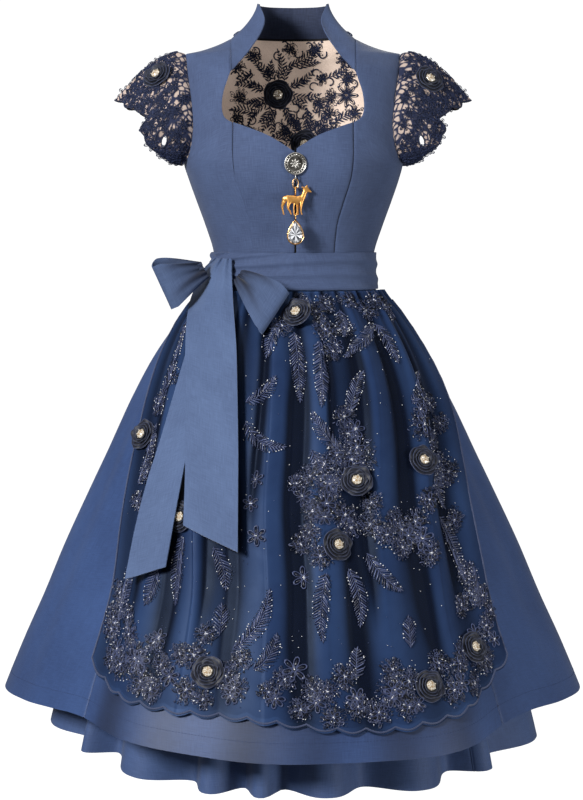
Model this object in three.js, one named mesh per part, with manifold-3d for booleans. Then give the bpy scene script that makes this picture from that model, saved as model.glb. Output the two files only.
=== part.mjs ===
// A dirndl as it stands when worn: a boned bodice with a standing collar and a sheer lace back yoke,
// lace cap sleeves, a four-gore skirt over a fluted underskirt, a gathered apron with a scalloped
// edge, a sash tied in a bow, cloth rosettes with glass stones, and a three-part pendant.
// Millimetres, +Z up. The front faces -Y, and the wearer's left is +X. The origin lies between
// the two shoulder points, where the wearer's shoulders carry the dress.
import * as THREE from "three";
import { mergeVertices } from "three/addons/utils/BufferGeometryUtils.js";
import Module from "manifold-3d";

const wasm = await Module();
wasm.setup();

// ---------------------------------------------------------------- driving dimensions
const CLOTH = 1.6; // wall of the bodice and the skirts
const SHEER = 1.0; // wall of the facing, the placket and other single layers
const GAP = 0.3; // room between pieces that meet
const HALF_GAP = GAP / 2;
const WAIST_Z = -334; // the seam between bodice and skirts
const SKIRT_HEM_Z = -988;
const UNDERSKIRT_HEM_Z = -1057;
const SASH_TOP_Z = -303;
const SASH_BOTTOM_Z = -358;
const SASH_CLOTH = 2.4; // the sash is folded double
const COLLAR_TOP_Z = 76;
const COLLAR_SEAM_Z = 31; // the collar seam at the centre back
const COLLAR_SEAM_X = 94; // the collar seam beside the neck, seen from the front
const CENTRE_X = 3.6; // the closing lies a little to the wearer's left
const OPENING_HALF = 1.4; // half the gap between the two centre fronts
const GORE_SEAM = 45; // degrees from the centre front to the skirt's front seams
const SCALLOPS = 18; // along the apron's hem
const SCALLOP_DEPTH = 6;
const ROSETTE_RADIUS = 23.5;
const STONE_RADIUS = 6.5;
const WIRE = 0.9; // radius of the pendant's rings

const cloth = (color, roughness = 0.85) =>
  new THREE.MeshStandardMaterial({ color, roughness, metalness: 0 });
const metal = (color, roughness) => new THREE.MeshStandardMaterial({ color, roughness, metalness: 1 });
const BLUE = cloth(0x4b6192);
const NAVY_FACING = cloth(0x1b2740);
const NAVY_SATIN = cloth(0x25406f, 0.45);
const NAVY_LACE = cloth(0x1c2b4a, 0.9);
const NUDE_NET = cloth(0xdcc3b0, 0.9);
const BLACK = cloth(0x0b0d12);
const SILVER = metal(0x9a9890, 0.4);
const GOLD = metal(0xe0a64f, 0.3);
const CRYSTAL = new THREE.MeshStandardMaterial({ color: 0xf4efe6, roughness: 0.05 });

// ---------------------------------------------------------------- small tools
const rad = THREE.MathUtils.degToRad;
const mix = THREE.MathUtils.lerp;
const clamp = THREE.MathUtils.clamp;
const vec = (x, y, z) => new THREE.Vector3(x, y, z);
const steps = (from, to, count) => Array.from({ length: count + 1 }, (_, i) => mix(from, to, i / count));
const signedPower = (value, power) => Math.sign(value) * Math.abs(value) ** power;

// A smooth curve through one named column of a table, read by another column that rises.
function track(table, along, key) {
  const at = table.map((row) => row[along]);
  const value = table.map((row) => row[key]);
  const last = at.length - 1;
  const slope = at.map((_, i) => {
    const before = Math.max(i - 1, 0);
    const after = Math.min(i + 1, last);
    return (value[after] - value[before]) / (at[after] - at[before]);
  });
  return (x) => {
    let i = 0;
    while (i < last - 1 && x > at[i + 1]) i += 1;
    const span = at[i + 1] - at[i];
    const t = clamp((x - at[i]) / span, 0, 1);
    const t2 = t * t;
    const t3 = t2 * t;
    return (
      value[i] * (2 * t3 - 3 * t2 + 1) +
      span * slope[i] * (t3 - 2 * t2 + t) +
      value[i + 1] * (3 * t2 - 2 * t3) +
      span * slope[i + 1] * (t3 - t2)
    );
  };
}

// Triangles as a solid, turned to face out.
function solidFrom(positions, triangles) {
  let volume = 0;
  const corner = (i) => vec(positions[3 * i], positions[3 * i + 1], positions[3 * i + 2]);
  for (let i = 0; i < triangles.length; i += 3) {
    const [a, b, c] = [0, 1, 2].map((k) => corner(triangles[i + k]));
    volume += a.dot(b.cross(c));
  }
  const faces = Uint32Array.from(triangles);
  if (volume < 0) {
    for (let i = 0; i < faces.length; i += 3) [faces[i + 1], faces[i + 2]] = [faces[i + 2], faces[i + 1]];
  }
  const vertProperties = Float32Array.from(positions);
  return new wasm.Manifold(new wasm.Mesh({ numProp: 3, vertProperties, triVerts: faces }));
}

function solidOf(geometry) {
  const bare = geometry.clone();
  bare.deleteAttribute("normal");
  bare.deleteAttribute("uv");
  const merged = mergeVertices(bare, 1e-3);
  return solidFrom(merged.attributes.position.array, merged.index.array);
}

// A wall of cloth. Its outer face is point(u, v) and its inner face lies `thick` behind it, with
// every cell of the two split along the same diagonal so that the wall keeps its thickness.
// side is 1 where u to the right and v upwards give an outward normal, and -1 where they don't.
function wall({ point, us, vs, thick, ring = false, side = 1 }) {
  const columns = us.length;
  const faceSize = columns * vs.length;
  const stepU = (us[us.length - 1] - us[0]) * 1e-3;
  const stepV = (vs[vs.length - 1] - vs[0]) * 1e-3;
  const within = (value, list) =>
    clamp(value, Math.min(list[0], list.at(-1)), Math.max(list[0], list.at(-1)));
  const outer = [];
  const inner = [];
  for (const v of vs) {
    for (const u of us) {
      const p = point(u, v);
      const lowU = ring ? u - stepU : within(u - stepU, us);
      const highU = ring ? u + stepU : within(u + stepU, us);
      const across = point(highU, v).sub(point(lowU, v));
      const up = point(u, within(v + stepV, vs)).sub(point(u, within(v - stepV, vs)));
      const normal = across.cross(up).normalize();
      outer.push(p.x, p.y, p.z);
      p.addScaledVector(normal, -side * thick);
      inner.push(p.x, p.y, p.z);
    }
  }
  const triangles = [];
  const quad = (a, b, c, d) => triangles.push(a, b, c, a, c, d);
  const cells = ring ? columns : columns - 1;
  const id = (i, j) => (i % columns) + j * columns;
  for (let j = 0; j < vs.length - 1; j += 1) {
    for (let i = 0; i < cells; i += 1) {
      quad(id(i, j), id(i + 1, j), id(i + 1, j + 1), id(i, j + 1));
      quad(
        faceSize + id(i, j),
        faceSize + id(i, j + 1),
        faceSize + id(i + 1, j + 1),
        faceSize + id(i + 1, j),
      );
    }
  }
  const top = vs.length - 1;
  for (let i = 0; i < cells; i += 1) {
    quad(id(i + 1, 0), id(i, 0), faceSize + id(i, 0), faceSize + id(i + 1, 0));
    quad(id(i, top), id(i + 1, top), faceSize + id(i + 1, top), faceSize + id(i, top));
  }
  for (let j = 0; j < top && !ring; j += 1) {
    const end = columns - 1;
    quad(id(0, j), id(0, j + 1), faceSize + id(0, j + 1), faceSize + id(0, j));
    quad(id(end, j + 1), id(end, j), faceSize + id(end, j), faceSize + id(end, j + 1));
  }
  return solidFrom([...outer, ...inner], triangles);
}

function moved(solid, by) {
  const { vertProperties, triVerts } = solid.getMesh();
  return solidFrom(
    Float32Array.from(vertProperties, (value, i) => value + by.getComponent(i % 3)),
    triVerts,
  );
}
const meets = (solid, others) =>
  others.some((other) => solid.intersect(other).getMesh().triVerts.length > 0);

// How far a solid moves along `way` to lie just clear of what carries it.
function settling(solid, carriers, way) {
  const out = way.clone().normalize();
  const stuckAt = (far) => meets(moved(solid, out.clone().multiplyScalar(far)), carriers);
  let clear = 0;
  while (stuckAt(clear)) clear += 1;
  let stuck = Math.max(clear - 1, 0);
  for (let i = 0; i < 5; i += 1) {
    const middle = (stuck + clear) / 2;
    if (stuckAt(middle)) stuck = middle;
    else clear = middle;
  }
  return out.multiplyScalar(clear + GAP);
}
const settled = (solid, carriers, way) => moved(solid, settling(solid, carriers, way));

// An outline in X and Z, drawn through the cloth along Y: the cutter for seams and openings.
function cutter(outline, fromY, toY) {
  const shape = new THREE.Shape(outline.map(([x, z]) => new THREE.Vector2(x, z)));
  const geometry = new THREE.ExtrudeGeometry(shape, { depth: toY - fromY, bevelEnabled: false });
  geometry.rotateX(Math.PI / 2);
  geometry.translate(0, toY, 0);
  return solidOf(geometry);
}

const mirrored = (outline) => outline.map(([x, z]) => [-x, z]);
const curveThrough = (points, count) =>
  new THREE.SplineCurve(points.map(([x, z]) => new THREE.Vector2(x, z)))
    .getPoints(count)
    .map((p) => [p.x, p.y]);

const part = new THREE.Group();

function add(name, solid, material) {
  const made = solid.getMesh();
  const geometry = new THREE.BufferGeometry();
  geometry.setAttribute("position", new THREE.BufferAttribute(new Float32Array(made.vertProperties), 3));
  geometry.setIndex(new THREE.BufferAttribute(new Uint32Array(made.triVerts), 1));
  geometry.computeVertexNormals();
  const mesh = new THREE.Mesh(geometry, material);
  mesh.name = name;
  part.add(mesh);
  return solid;
}

// ---------------------------------------------------------------- bodice
// Level sections of the bodice: half its width, its reach forwards and back from the shoulder
// line, and how square the section is. Over the shoulders the sections are contour lines.
const BODICE = [
  { z: -334, half: 121, front: 95, back: 88, power: 2.0 },
  { z: -300, half: 124.5, front: 97, back: 90, power: 2.0 },
  { z: -262, half: 136.5, front: 104, back: 94, power: 2.05 },
  { z: -226, half: 149.5, front: 111, back: 100, power: 2.1 },
  { z: -190, half: 162, front: 117, back: 105, power: 2.15 },
  { z: -165, half: 168.5, front: 119, back: 107, power: 2.2 },
  { z: -130, half: 167, front: 116, back: 108, power: 2.25 },
  { z: -95, half: 167, front: 107, back: 107, power: 2.25 },
  { z: -55, half: 167, front: 95, back: 104, power: 2.2 },
  { z: -25, half: 167, front: 82, back: 98, power: 1.95 },
  { z: -8, half: 166, front: 72, back: 93, power: 1.6 },
  { z: 0, half: 164, front: 67, back: 90, power: 1.4 },
  { z: 3, half: 148, front: 65, back: 89, power: 1.45 },
  { z: 8, half: 130, front: 62, back: 87, power: 1.5 },
  { z: 16, half: 109, front: 57, back: 84, power: 1.65 },
  { z: 25, half: 92, front: 52, back: 81, power: 1.85 },
  { z: 31, half: 86, front: 48, back: 78, power: 2.0 },
];
// The dress turns and leans a little on its way down: its middle at each height.
const MIDDLE = [
  { z: -1060, x: -1 },
  { z: -900, x: -1 },
  { z: -600, x: -2 },
  { z: -520, x: -3 },
  { z: -450, x: -6 },
  { z: -385, x: -4.5 },
  { z: -334, x: 0 },
  { z: -300, x: 1.5 },
  { z: -200, x: 1.5 },
  { z: -140, x: 0 },
  { z: 31, x: 0 },
];
const middleX = track(MIDDLE, "z", "x");
const BUST = { x: 72, z: -188, rise: 12, spread: 38 };
const bodice = Object.fromEntries(
  ["half", "front", "back", "power"].map((key) => [key, track(BODICE, "z", key)]),
);
const bustRise = (x, z) =>
  [-1, 1].reduce((sum, side) => {
    const away = Math.hypot(x - side * BUST.x, z - BUST.z) / BUST.spread;
    return sum + BUST.rise * Math.exp(-0.5 * away * away);
  }, 0);

function bodicePoint(turn, z) {
  const s = Math.sin(rad(turn));
  const c = Math.cos(rad(turn));
  const round = 2 / bodice.power(z);
  const x = bodice.half(z) * signedPower(s, round);
  const at = x + middleX(z);
  if (c < 0) return vec(at, bodice.back(z) * Math.abs(c) ** round, z);
  const frontness = Math.min(1, 3 * c);
  return vec(at, -bodice.front(z) * c ** round - bustRise(at, z) * frontness, z);
}

// How far the bodice reaches from the shoulder line at a point seen from the front.
function bodiceDepth(x, z, reach) {
  const share = clamp(Math.abs(x - middleX(z)) / bodice.half(z), 0, 1);
  const power = bodice.power(z);
  return reach(z) * (1 - share ** power) ** (1 / power);
}
const frontY = (x, z) => -bodiceDepth(x, z, bodice.front) - bustRise(x, z);

// Half of each outline seen from the front, from the centre outwards.
const NECKLINE = [
  [0, -152],
  [18, -140],
  [41, -127],
  [72, -115],
  [98.5, -104],
  [106, -89],
  [104.5, -65],
  [97.5, -42],
];
const NECKLINE_END = [COLLAR_SEAM_X, -32];
const ARMHOLE = [
  [164, 1],
  [160, -30],
  [154, -68],
  [150.5, -104],
  [152, -130],
  [158, -154],
  [168.5, -169],
];
const FRONT_SEAM = [
  [91, -60],
  [90, -115],
  [90, -161],
  [86, -193],
  [75, -229],
  [66, -262],
  [62, -306],
  [60, -340],
];
const BACK_SEAM = [
  [92, -120],
  [90, -170],
  [82, -210],
  [68, -262],
  [58, -306],
  [55, -340],
];
const YOKE = [
  [0, -186],
  [42, -182],
  [82, -171],
  [106, -150],
  [114, -110],
  [113, -60],
  [107, -20],
  [101, 6],
];
const FAR = 260; // past the bodice on every side

const armholeCurve = curveThrough(ARMHOLE, 11);
const neckHalf = [...curveThrough(NECKLINE, 14), [NECKLINE_END[0] + HALF_GAP, NECKLINE_END[1]]];
const neckCut = cutter(
  [
    [CENTRE_X, NECKLINE[0][1]],
    ...neckHalf.slice(1),
    [COLLAR_SEAM_X + HALF_GAP, FAR],
    [-COLLAR_SEAM_X - HALF_GAP, FAR],
    ...mirrored(neckHalf).slice(1).reverse(),
  ],
  -FAR,
  FAR,
);
const armholeOutline = [...armholeCurve, [FAR, -169], [FAR, 1]];
const armholeCut = cutter(armholeOutline, -FAR, FAR).add(
  cutter(mirrored(armholeOutline).reverse(), -FAR, FAR),
);
const slab = (fromX, toX, fromY, toY) =>
  cutter(
    [
      [fromX, -FAR * 2],
      [toX, -FAR * 2],
      [toX, FAR],
      [fromX, FAR],
    ],
    fromY,
    toY,
  );

const BODICE_ROWS = [-334, -296, -256, -220, -188, -160, -125, -88, -54, -26, -9, 0, 5, 13, 25];
const FRONT_TURNS = [-94, -86, -75, -64, -54, -44, -34, -24, -14, -5];
const frontTurns = [...FRONT_TURNS, ...FRONT_TURNS.map((turn) => -turn).reverse()];
const BACK_TURNS = [86, 96, 108, 121, 135, 150, 165];
const backTurns = [...BACK_TURNS, 180, ...BACK_TURNS.map((turn) => 360 - turn).reverse()];

const frontWall = wall({ point: bodicePoint, us: frontTurns, vs: BODICE_ROWS, thick: CLOTH })
  .intersect(slab(-FAR, FAR, -FAR, -HALF_GAP))
  .subtract(neckCut)
  .subtract(armholeCut);
const backWall = wall({
  point: bodicePoint,
  us: backTurns,
  vs: [...BODICE_ROWS, COLLAR_SEAM_Z - 1],
  thick: CLOTH,
})
  .intersect(slab(-FAR, FAR, HALF_GAP, FAR))
  .subtract(armholeCut);

// The cloth between the centre and a seam, and the cloth beyond it, each short of it by half a gap.
function seamCutters(seam, fromY, toY, centre) {
  const line = curveThrough(seam, 9);
  const shifted = (by) => line.map(([x, z]) => [x + by, z]);
  const [first, last] = [line[0], line.at(-1)];
  const inside = [
    ...shifted(-HALF_GAP),
    [centre, last[1]],
    [centre, FAR],
    [first[0] - HALF_GAP, FAR],
  ];
  const outside = [...shifted(HALF_GAP), [FAR, last[1]], [FAR, FAR], [first[0] + HALF_GAP, FAR]];
  return { inside, outside, both: (outline) => cutter(outline, fromY, toY) };
}
const leftSeam = seamCutters(FRONT_SEAM, -FAR, 0, CENTRE_X + OPENING_HALF);
const rightSeam = seamCutters(FRONT_SEAM, -FAR, 0, OPENING_HALF - CENTRE_X);
const centreLeft = add("centre_front_left", frontWall.intersect(leftSeam.both(leftSeam.inside)), BLUE);
const centreRight = add(
  "centre_front_right",
  frontWall.intersect(rightSeam.both(mirrored(rightSeam.inside).reverse())),
  BLUE,
);
add("side_front_left", frontWall.intersect(leftSeam.both(leftSeam.outside)), BLUE);
add("side_front_right", frontWall.intersect(rightSeam.both(mirrored(rightSeam.outside).reverse())), BLUE);

// The yoke's outline climbs to the shoulder seam, where the collar takes over.
const yokeHalf = (by) => {
  const line = curveThrough(YOKE, 12).map(([x, z], i) => (i === 0 ? [0, z - by] : [x + by, z - by / 2]));
  return [...line, [line.at(-1)[0], FAR]];
};
const yokeOutline = (by) => {
  const half = yokeHalf(by);
  return [...half, ...mirrored(half).slice(1).reverse()];
};
const backCloth = backWall.subtract(cutter(yokeOutline(HALF_GAP), 0, FAR));
const backSeam = seamCutters(BACK_SEAM, 0, FAR, 0);
const backMiddle = [
  ...backSeam.inside.slice(0, -3),
  ...mirrored(backSeam.inside.slice(0, -3)).reverse(),
];
add("back_centre", backCloth.intersect(backSeam.both(backMiddle)), BLUE);
add("side_back_left", backCloth.intersect(backSeam.both(backSeam.outside)), BLUE);
add("side_back_right", backCloth.intersect(backSeam.both(mirrored(backSeam.outside).reverse())), BLUE);
const yoke = add("back_yoke", backWall.intersect(cutter(yokeOutline(-HALF_GAP), 0, FAR)), NUDE_NET);

// The dark strip behind the centre-front opening.
const PLACKET_HALF = 9;
const PLACKET_ROOM = 1.2; // the cloth in front of it is faceted
const placketPoint = (x, z) => vec(x, frontY(x, z) + CLOTH + PLACKET_ROOM, z);
add(
  "front_placket",
  wall({
    point: placketPoint,
    us: steps(CENTRE_X - PLACKET_HALF, CENTRE_X + PLACKET_HALF, 1),
    vs: [WAIST_Z, -296, -256, -220, -188, -162],
    thick: SHEER,
  }),
  BLACK,
);

// ---------------------------------------------------------------- collar
// The collar's free edge, from the centre back round one side to its long front point. share
// runs along the collar, and the shoulder line lies at 0.5. It is mirrored for the other side.
const COLLAR_EDGE = [
  { share: 0, x: 0, y: 66, z: COLLAR_TOP_Z },
  { share: 0.2, x: 31, y: 59, z: COLLAR_TOP_Z },
  { share: 0.38, x: 51, y: 36, z: COLLAR_TOP_Z },
  { share: 0.5, x: 55, y: 12, z: COLLAR_TOP_Z },
  { share: 0.57, x: 52.5, y: -4, z: 74.5 },
  { share: 0.66, x: 43.5, y: -19, z: 52 },
  { share: 0.74, x: 49, y: -31, z: 31 },
  { share: 0.84, x: 65.5, y: -44, z: 4 },
  { share: 0.93, x: 81.5, y: -57, z: -17 },
  { share: 1, x: 91.4, y: -68, z: -29 },
];
const COLLAR_HOLLOW = 6; // how far the collar curves in between its two edges
const SHOULDER_SHARE = 0.5;
const FRONT_POINT_Z = -32;
const edgeOf = Object.fromEntries(["x", "y", "z"].map((key) => [key, track(COLLAR_EDGE, "share", key)]));

function collarSeamPoint(share) {
  if (share <= SHOULDER_SHARE) {
    const p = bodicePoint(180 - 90 * (share / SHOULDER_SHARE), COLLAR_SEAM_Z);
    return p.setZ(COLLAR_SEAM_Z + GAP);
  }
  const down = (share - SHOULDER_SHARE) / (1 - SHOULDER_SHARE);
  const x = mix(bodice.half(COLLAR_SEAM_Z), COLLAR_SEAM_X - HALF_GAP, clamp(down * 8, 0, 1));
  const z = mix(COLLAR_SEAM_Z, FRONT_POINT_Z, down);
  return vec(x, frontY(Math.min(x, bodice.half(z) * 0.9999), z), z);
}
function collarPoint(along, up) {
  const share = Math.abs(along);
  const seam = collarSeamPoint(share);
  const edge = vec(edgeOf.x(share), edgeOf.y(share), edgeOf.z(share));
  const hollow = COLLAR_HOLLOW * 4 * up * (1 - up) * clamp((1 - share) * 4, 0, 1);
  const p = seam.lerp(edge, up);
  const out = vec(p.x, p.y - 12, 0).normalize();
  p.addScaledVector(out, -hollow);
  if (along < 0) p.x = -p.x;
  return p;
}
const COLLAR_SHARES = [0, 0.13, 0.26, 0.38, 0.5, 0.57, 0.64, 0.71, 0.79, 0.89, 1];
const bothWays = (shares) => [...shares.slice(1).reverse().map((share) => -share), ...shares];
const COLLAR_ROWS = [0, 0.33, 0.67, 1];
const collarWall = wall({
  point: collarPoint,
  us: bothWays(COLLAR_SHARES),
  vs: COLLAR_ROWS,
  thick: CLOTH,
  side: -1,
});
const neckWidth = COLLAR_SEAM_X - HALF_GAP;
add("collar", collarWall.intersect(slab(-neckWidth, neckWidth, -FAR, FAR)), BLUE);
// Dark facing inside the standing part, behind the neck.
const FACING_ROOM = 0.8; // between the facing and the collar
const facingPoint = (along, up) => {
  const at = collarPoint(along, up);
  const across = collarPoint(along + 1e-3, up).sub(collarPoint(along - 1e-3, up));
  const rise = collarPoint(along, Math.min(1, up + 1e-3)).sub(collarPoint(along, Math.max(0, up - 1e-3)));
  return at.addScaledVector(across.cross(rise).normalize(), CLOTH + FACING_ROOM);
};
add(
  "collar_facing",
  wall({
    point: facingPoint,
    us: bothWays(COLLAR_SHARES.filter((share) => share < 0.6)),
    vs: COLLAR_ROWS,
    thick: SHEER,
    side: -1,
  }),
  NAVY_FACING,
);

// ---------------------------------------------------------------- skirts
const SKIRT = [
  { z: -1060, half: 479, depth: 0.91 },
  { z: -988, half: 453, depth: 0.92 },
  { z: -905, half: 418.5, depth: 0.91 },
  { z: -834, half: 386, depth: 0.9 },
  { z: -751, half: 351, depth: 0.89 },
  { z: -657, half: 307, depth: 0.88 },
  { z: -607, half: 283, depth: 0.87 },
  { z: -570, half: 266, depth: 0.865 },
  { z: -524, half: 244, depth: 0.86 },
  { z: -474, half: 216, depth: 0.85 },
  { z: -429, half: 186.5, depth: 0.84 },
  { z: -392, half: 158.5, depth: 0.82 },
  { z: -358, half: 129.5, depth: 0.79 },
  { z: -334, half: 121, depth: 0.785 },
];
// Soft folds of the skirt: how far each stands out at the hem, by the angle from the front.
const SKIRT_FOLDS = [
  { turn: 0, rise: 3 },
  { turn: 15, rise: 0 },
  { turn: 30, rise: 3 },
  { turn: 46, rise: -22 },
  { turn: 56, rise: -30 },
  { turn: 70, rise: -18 },
  { turn: 91, rise: 2 },
  { turn: 116, rise: -16 },
  { turn: 137, rise: 10 },
  { turn: 159, rise: -14 },
  { turn: 180, rise: 10 },
];
// The two hems, from the wearer's back round the right side, the front and the left side.
const SKIRT_HEM = [
  { turn: -180, z: -985 },
  { turn: -110, z: -983 },
  { turn: -90, z: -980 },
  { turn: -75, z: -976 },
  { turn: -60, z: -970 },
  { turn: -45, z: -965 },
  { turn: -33, z: -976 },
  { turn: -20, z: -985 },
  { turn: -8, z: -992 },
  { turn: 6, z: -993 },
  { turn: 24, z: -993 },
  { turn: 34, z: -988 },
  { turn: 45, z: -974 },
  { turn: 58, z: -971 },
  { turn: 72, z: -976 },
  { turn: 90, z: -981 },
  { turn: 110, z: -983 },
  { turn: 180, z: -985 },
];
const UNDERSKIRT_HEM = [
  { turn: -180, z: -1046 },
  { turn: -120, z: -1030 },
  { turn: -90, z: -1021 },
  { turn: -68, z: -1026 },
  { turn: -50, z: -1036 },
  { turn: -35, z: -1050 },
  { turn: -15, z: -1059 },
  { turn: 15, z: -1060 },
  { turn: 32, z: -1060 },
  { turn: 46, z: -1053 },
  { turn: 65, z: -1046 },
  { turn: 90, z: -1045 },
  { turn: 180, z: -1046 },
];
const FLARE_Z = -640; // below here the rows of the cloth ease towards their own hem
const signedTurn = (turn) => ((((turn + 180) % 360) + 360) % 360) - 180;
const skirtHalf = track(SKIRT, "z", "half");
const skirtDepth = track(SKIRT, "z", "depth");
const skirtHem = track(SKIRT_HEM, "turn", "z");
const underskirtHem = track(UNDERSKIRT_HEM, "turn", "z");
const eased = (z, flat, hem) => z + (hem - flat) * clamp((FLARE_Z - z) / (FLARE_Z - flat), 0, 1);
const skirtFold = track(SKIRT_FOLDS, "turn", "rise");
const fall = (z) => clamp((WAIST_Z - z) / (WAIST_Z - SKIRT_HEM_Z), 0, 1.2);
const angleFromFront = (turn) => Math.abs(signedTurn(turn));

// A point round the skirt, `out` beyond its smooth form.
function skirtRing(turn, z, out = 0) {
  const half = skirtHalf(z) + out;
  const depth = skirtHalf(z) * skirtDepth(z) + out;
  return vec(middleX(z) + half * Math.sin(rad(turn)), -depth * Math.cos(rad(turn)), z);
}
const foldAt = (turn, z) => skirtFold(angleFromFront(turn)) * fall(z) ** 1.2;
function skirtPoint(turn, row) {
  const z = eased(row, SKIRT_HEM_Z, skirtHem(signedTurn(turn)));
  return skirtRing(turn, z, foldAt(turn, z));
}

// One gore of a skirt, between two seams, short of each by half a gap.
function gore({ point, from, to, columns, rows, thick }) {
  const inset = (z) => THREE.MathUtils.radToDeg(HALF_GAP / (0.75 * skirtHalf(Math.max(z, -988))));
  const seamed = (u, z) => {
    const room = inset(z);
    return point(clamp(u, from + room, to - room), z);
  };
  return wall({ point: seamed, us: columns, vs: rows, thick });
}
const GORES = [
  { name: "front", from: -GORE_SEAM, to: GORE_SEAM },
  { name: "left", from: GORE_SEAM, to: 180 - GORE_SEAM },
  { name: "back", from: 180 - GORE_SEAM, to: 180 + GORE_SEAM },
  { name: "right", from: 180 + GORE_SEAM, to: 360 - GORE_SEAM },
];
const SKIRT_ROWS = [SKIRT_HEM_Z, -900, -800, -700, -607, -524, -440, -385, -356, WAIST_Z - GAP];
for (const { name, from, to } of GORES) {
  const columns = steps(from, to, 12);
  add(
    `skirt_${name}`,
    gore({ point: skirtPoint, from, to, columns, rows: SKIRT_ROWS, thick: CLOTH }),
    BLUE,
  );
}

// The underskirt falls in round flutes. Each width is the angle one flute takes at the hem.
const FRONT_FLUTES = [38, 10, 24.5, 13, 9.5, 19, 24, 14, 42];
const BACK_FLUTES = [17, 15, 18, 14, 17, 18, 15, 17, 16, 19];
const FIRST_FLUTE = -97; // where the first flute starts, at the wearer's right
const FLUTE_RISE = 23; // half the depth of a flute at the hem
const UNDERSKIRT_IN = [
  { z: -1057, share: 0.765 },
  { z: -834, share: 0.8 },
  { z: -607, share: 0.86 },
  { z: -430, share: 0.92 },
  { z: -358, share: 0.955 },
  { z: -334, share: 0.965 },
];
const underskirtIn = track(UNDERSKIRT_IN, "z", "share");
const fluteEdges = [FIRST_FLUTE];
for (const width of [...FRONT_FLUTES, ...BACK_FLUTES]) {
  const whole = [...FRONT_FLUTES, ...BACK_FLUTES].reduce((sum, w) => sum + w, 0);
  fluteEdges.push(fluteEdges.at(-1) + (width * 360) / whole);
}
// How far round its flute an angle lies, from 0 at one valley to 1 at the next.
function fluteShare(turn) {
  const round = ((((turn - FIRST_FLUTE) % 360) + 360) % 360) + FIRST_FLUTE;
  let i = 0;
  while (i < fluteEdges.length - 2 && round >= fluteEdges[i + 1]) i += 1;
  return (round - fluteEdges[i]) / (fluteEdges[i + 1] - fluteEdges[i]);
}
function underskirtPoint(turn, row) {
  const z = eased(row, UNDERSKIRT_HEM_Z, underskirtHem(signedTurn(turn)));
  const share = underskirtIn(z);
  const half = skirtHalf(z) * share;
  const depth = half * skirtDepth(z);
  const lift = clamp((WAIST_Z - z) / (WAIST_Z - UNDERSKIRT_HEM_Z), 0, 1) ** 1.3;
  const wave = 1 - 2 * Math.abs(Math.cos(Math.PI * fluteShare(turn))) ** 2.6;
  const out = FLUTE_RISE * lift * wave;
  const x = middleX(z) + (half + out) * Math.sin(rad(turn));
  return vec(x, -(depth + out) * Math.cos(rad(turn)), z);
}
const UNDERSKIRT_ROWS = [UNDERSKIRT_HEM_Z, -985, -780, -560, -430, -358, WAIST_Z - GAP];
const FRONT_STEPS = [0, 0.13, 0.3, 0.7, 0.87];
const BACK_STEPS = [0, 0.17, 0.5, 0.83];
const fluteTurns = fluteEdges.slice(0, -1).flatMap((edge, i) => {
  const shares = i < FRONT_FLUTES.length ? FRONT_STEPS : BACK_STEPS;
  return shares.map((t) => mix(edge, fluteEdges[i + 1], t));
});
for (const { name, from, to } of GORES) {
  const inside = [-360, 0, 360]
    .flatMap((lap) => fluteTurns.map((turn) => turn + lap))
    .filter((turn) => turn > from + 1 && turn < to - 1)
    .sort((a, b) => a - b);
  add(
    `underskirt_${name}`,
    gore({
      point: underskirtPoint,
      from,
      to,
      columns: [from, ...inside, to],
      rows: UNDERSKIRT_ROWS,
      thick: CLOTH,
    }),
    BLUE,
  );
}

// ---------------------------------------------------------------- apron
// How far the apron reaches round the skirt, in degrees to each side of the centre front.
const APRON_REACH = [
  { z: -956, right: 45.4, left: 50.5 },
  { z: -845, right: 45.5, left: 50 },
  { z: -767, right: 46.5, left: 51.5 },
  { z: -664, right: 53, left: 57 },
  { z: -596, right: 58, left: 64 },
  { z: -526, right: 62.5, left: 71 },
  { z: -446, right: 69, left: 80 },
  { z: -358, right: 82, left: 87 },
];
const APRON_HEM = [
  { turn: -46, z: -880 },
  { turn: -41, z: -903 },
  { turn: -34, z: -921 },
  { turn: -25, z: -929 },
  { turn: -7, z: -936 },
  { turn: 3, z: -945 },
  { turn: 15, z: -953 },
  { turn: 25, z: -948 },
  { turn: 34, z: -938 },
  { turn: 41, z: -917 },
  { turn: 47, z: -893 },
  { turn: 51, z: -882 },
];
// The crests of the apron's large folds, as shares of its width, and how deep each next valley is.
const APRON_CRESTS = [
  { at: -0.03, depth: 8 },
  { at: 0.11, depth: 9 },
  { at: 0.25, depth: 12 },
  { at: 0.42, depth: 14 },
  { at: 0.555, depth: 12 },
  { at: 0.69, depth: 11 },
  { at: 0.84, depth: 10 },
  { at: 0.98, depth: 8 },
];
const GATHERS = 19; // small gathers where the apron meets the sash
const GATHER_RISE = 5;
const APRON_CLOTH = 1.3;
const APRON_SINK = -8; // how far the apron follows the skirt's valleys
const APRON_ROOM = 1.2; // between the apron's valleys and the skirt
const reachRight = track(APRON_REACH, "z", "right");
const reachLeft = track(APRON_REACH, "z", "left");
const apronHem = track(APRON_HEM, "turn", "z");

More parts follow.
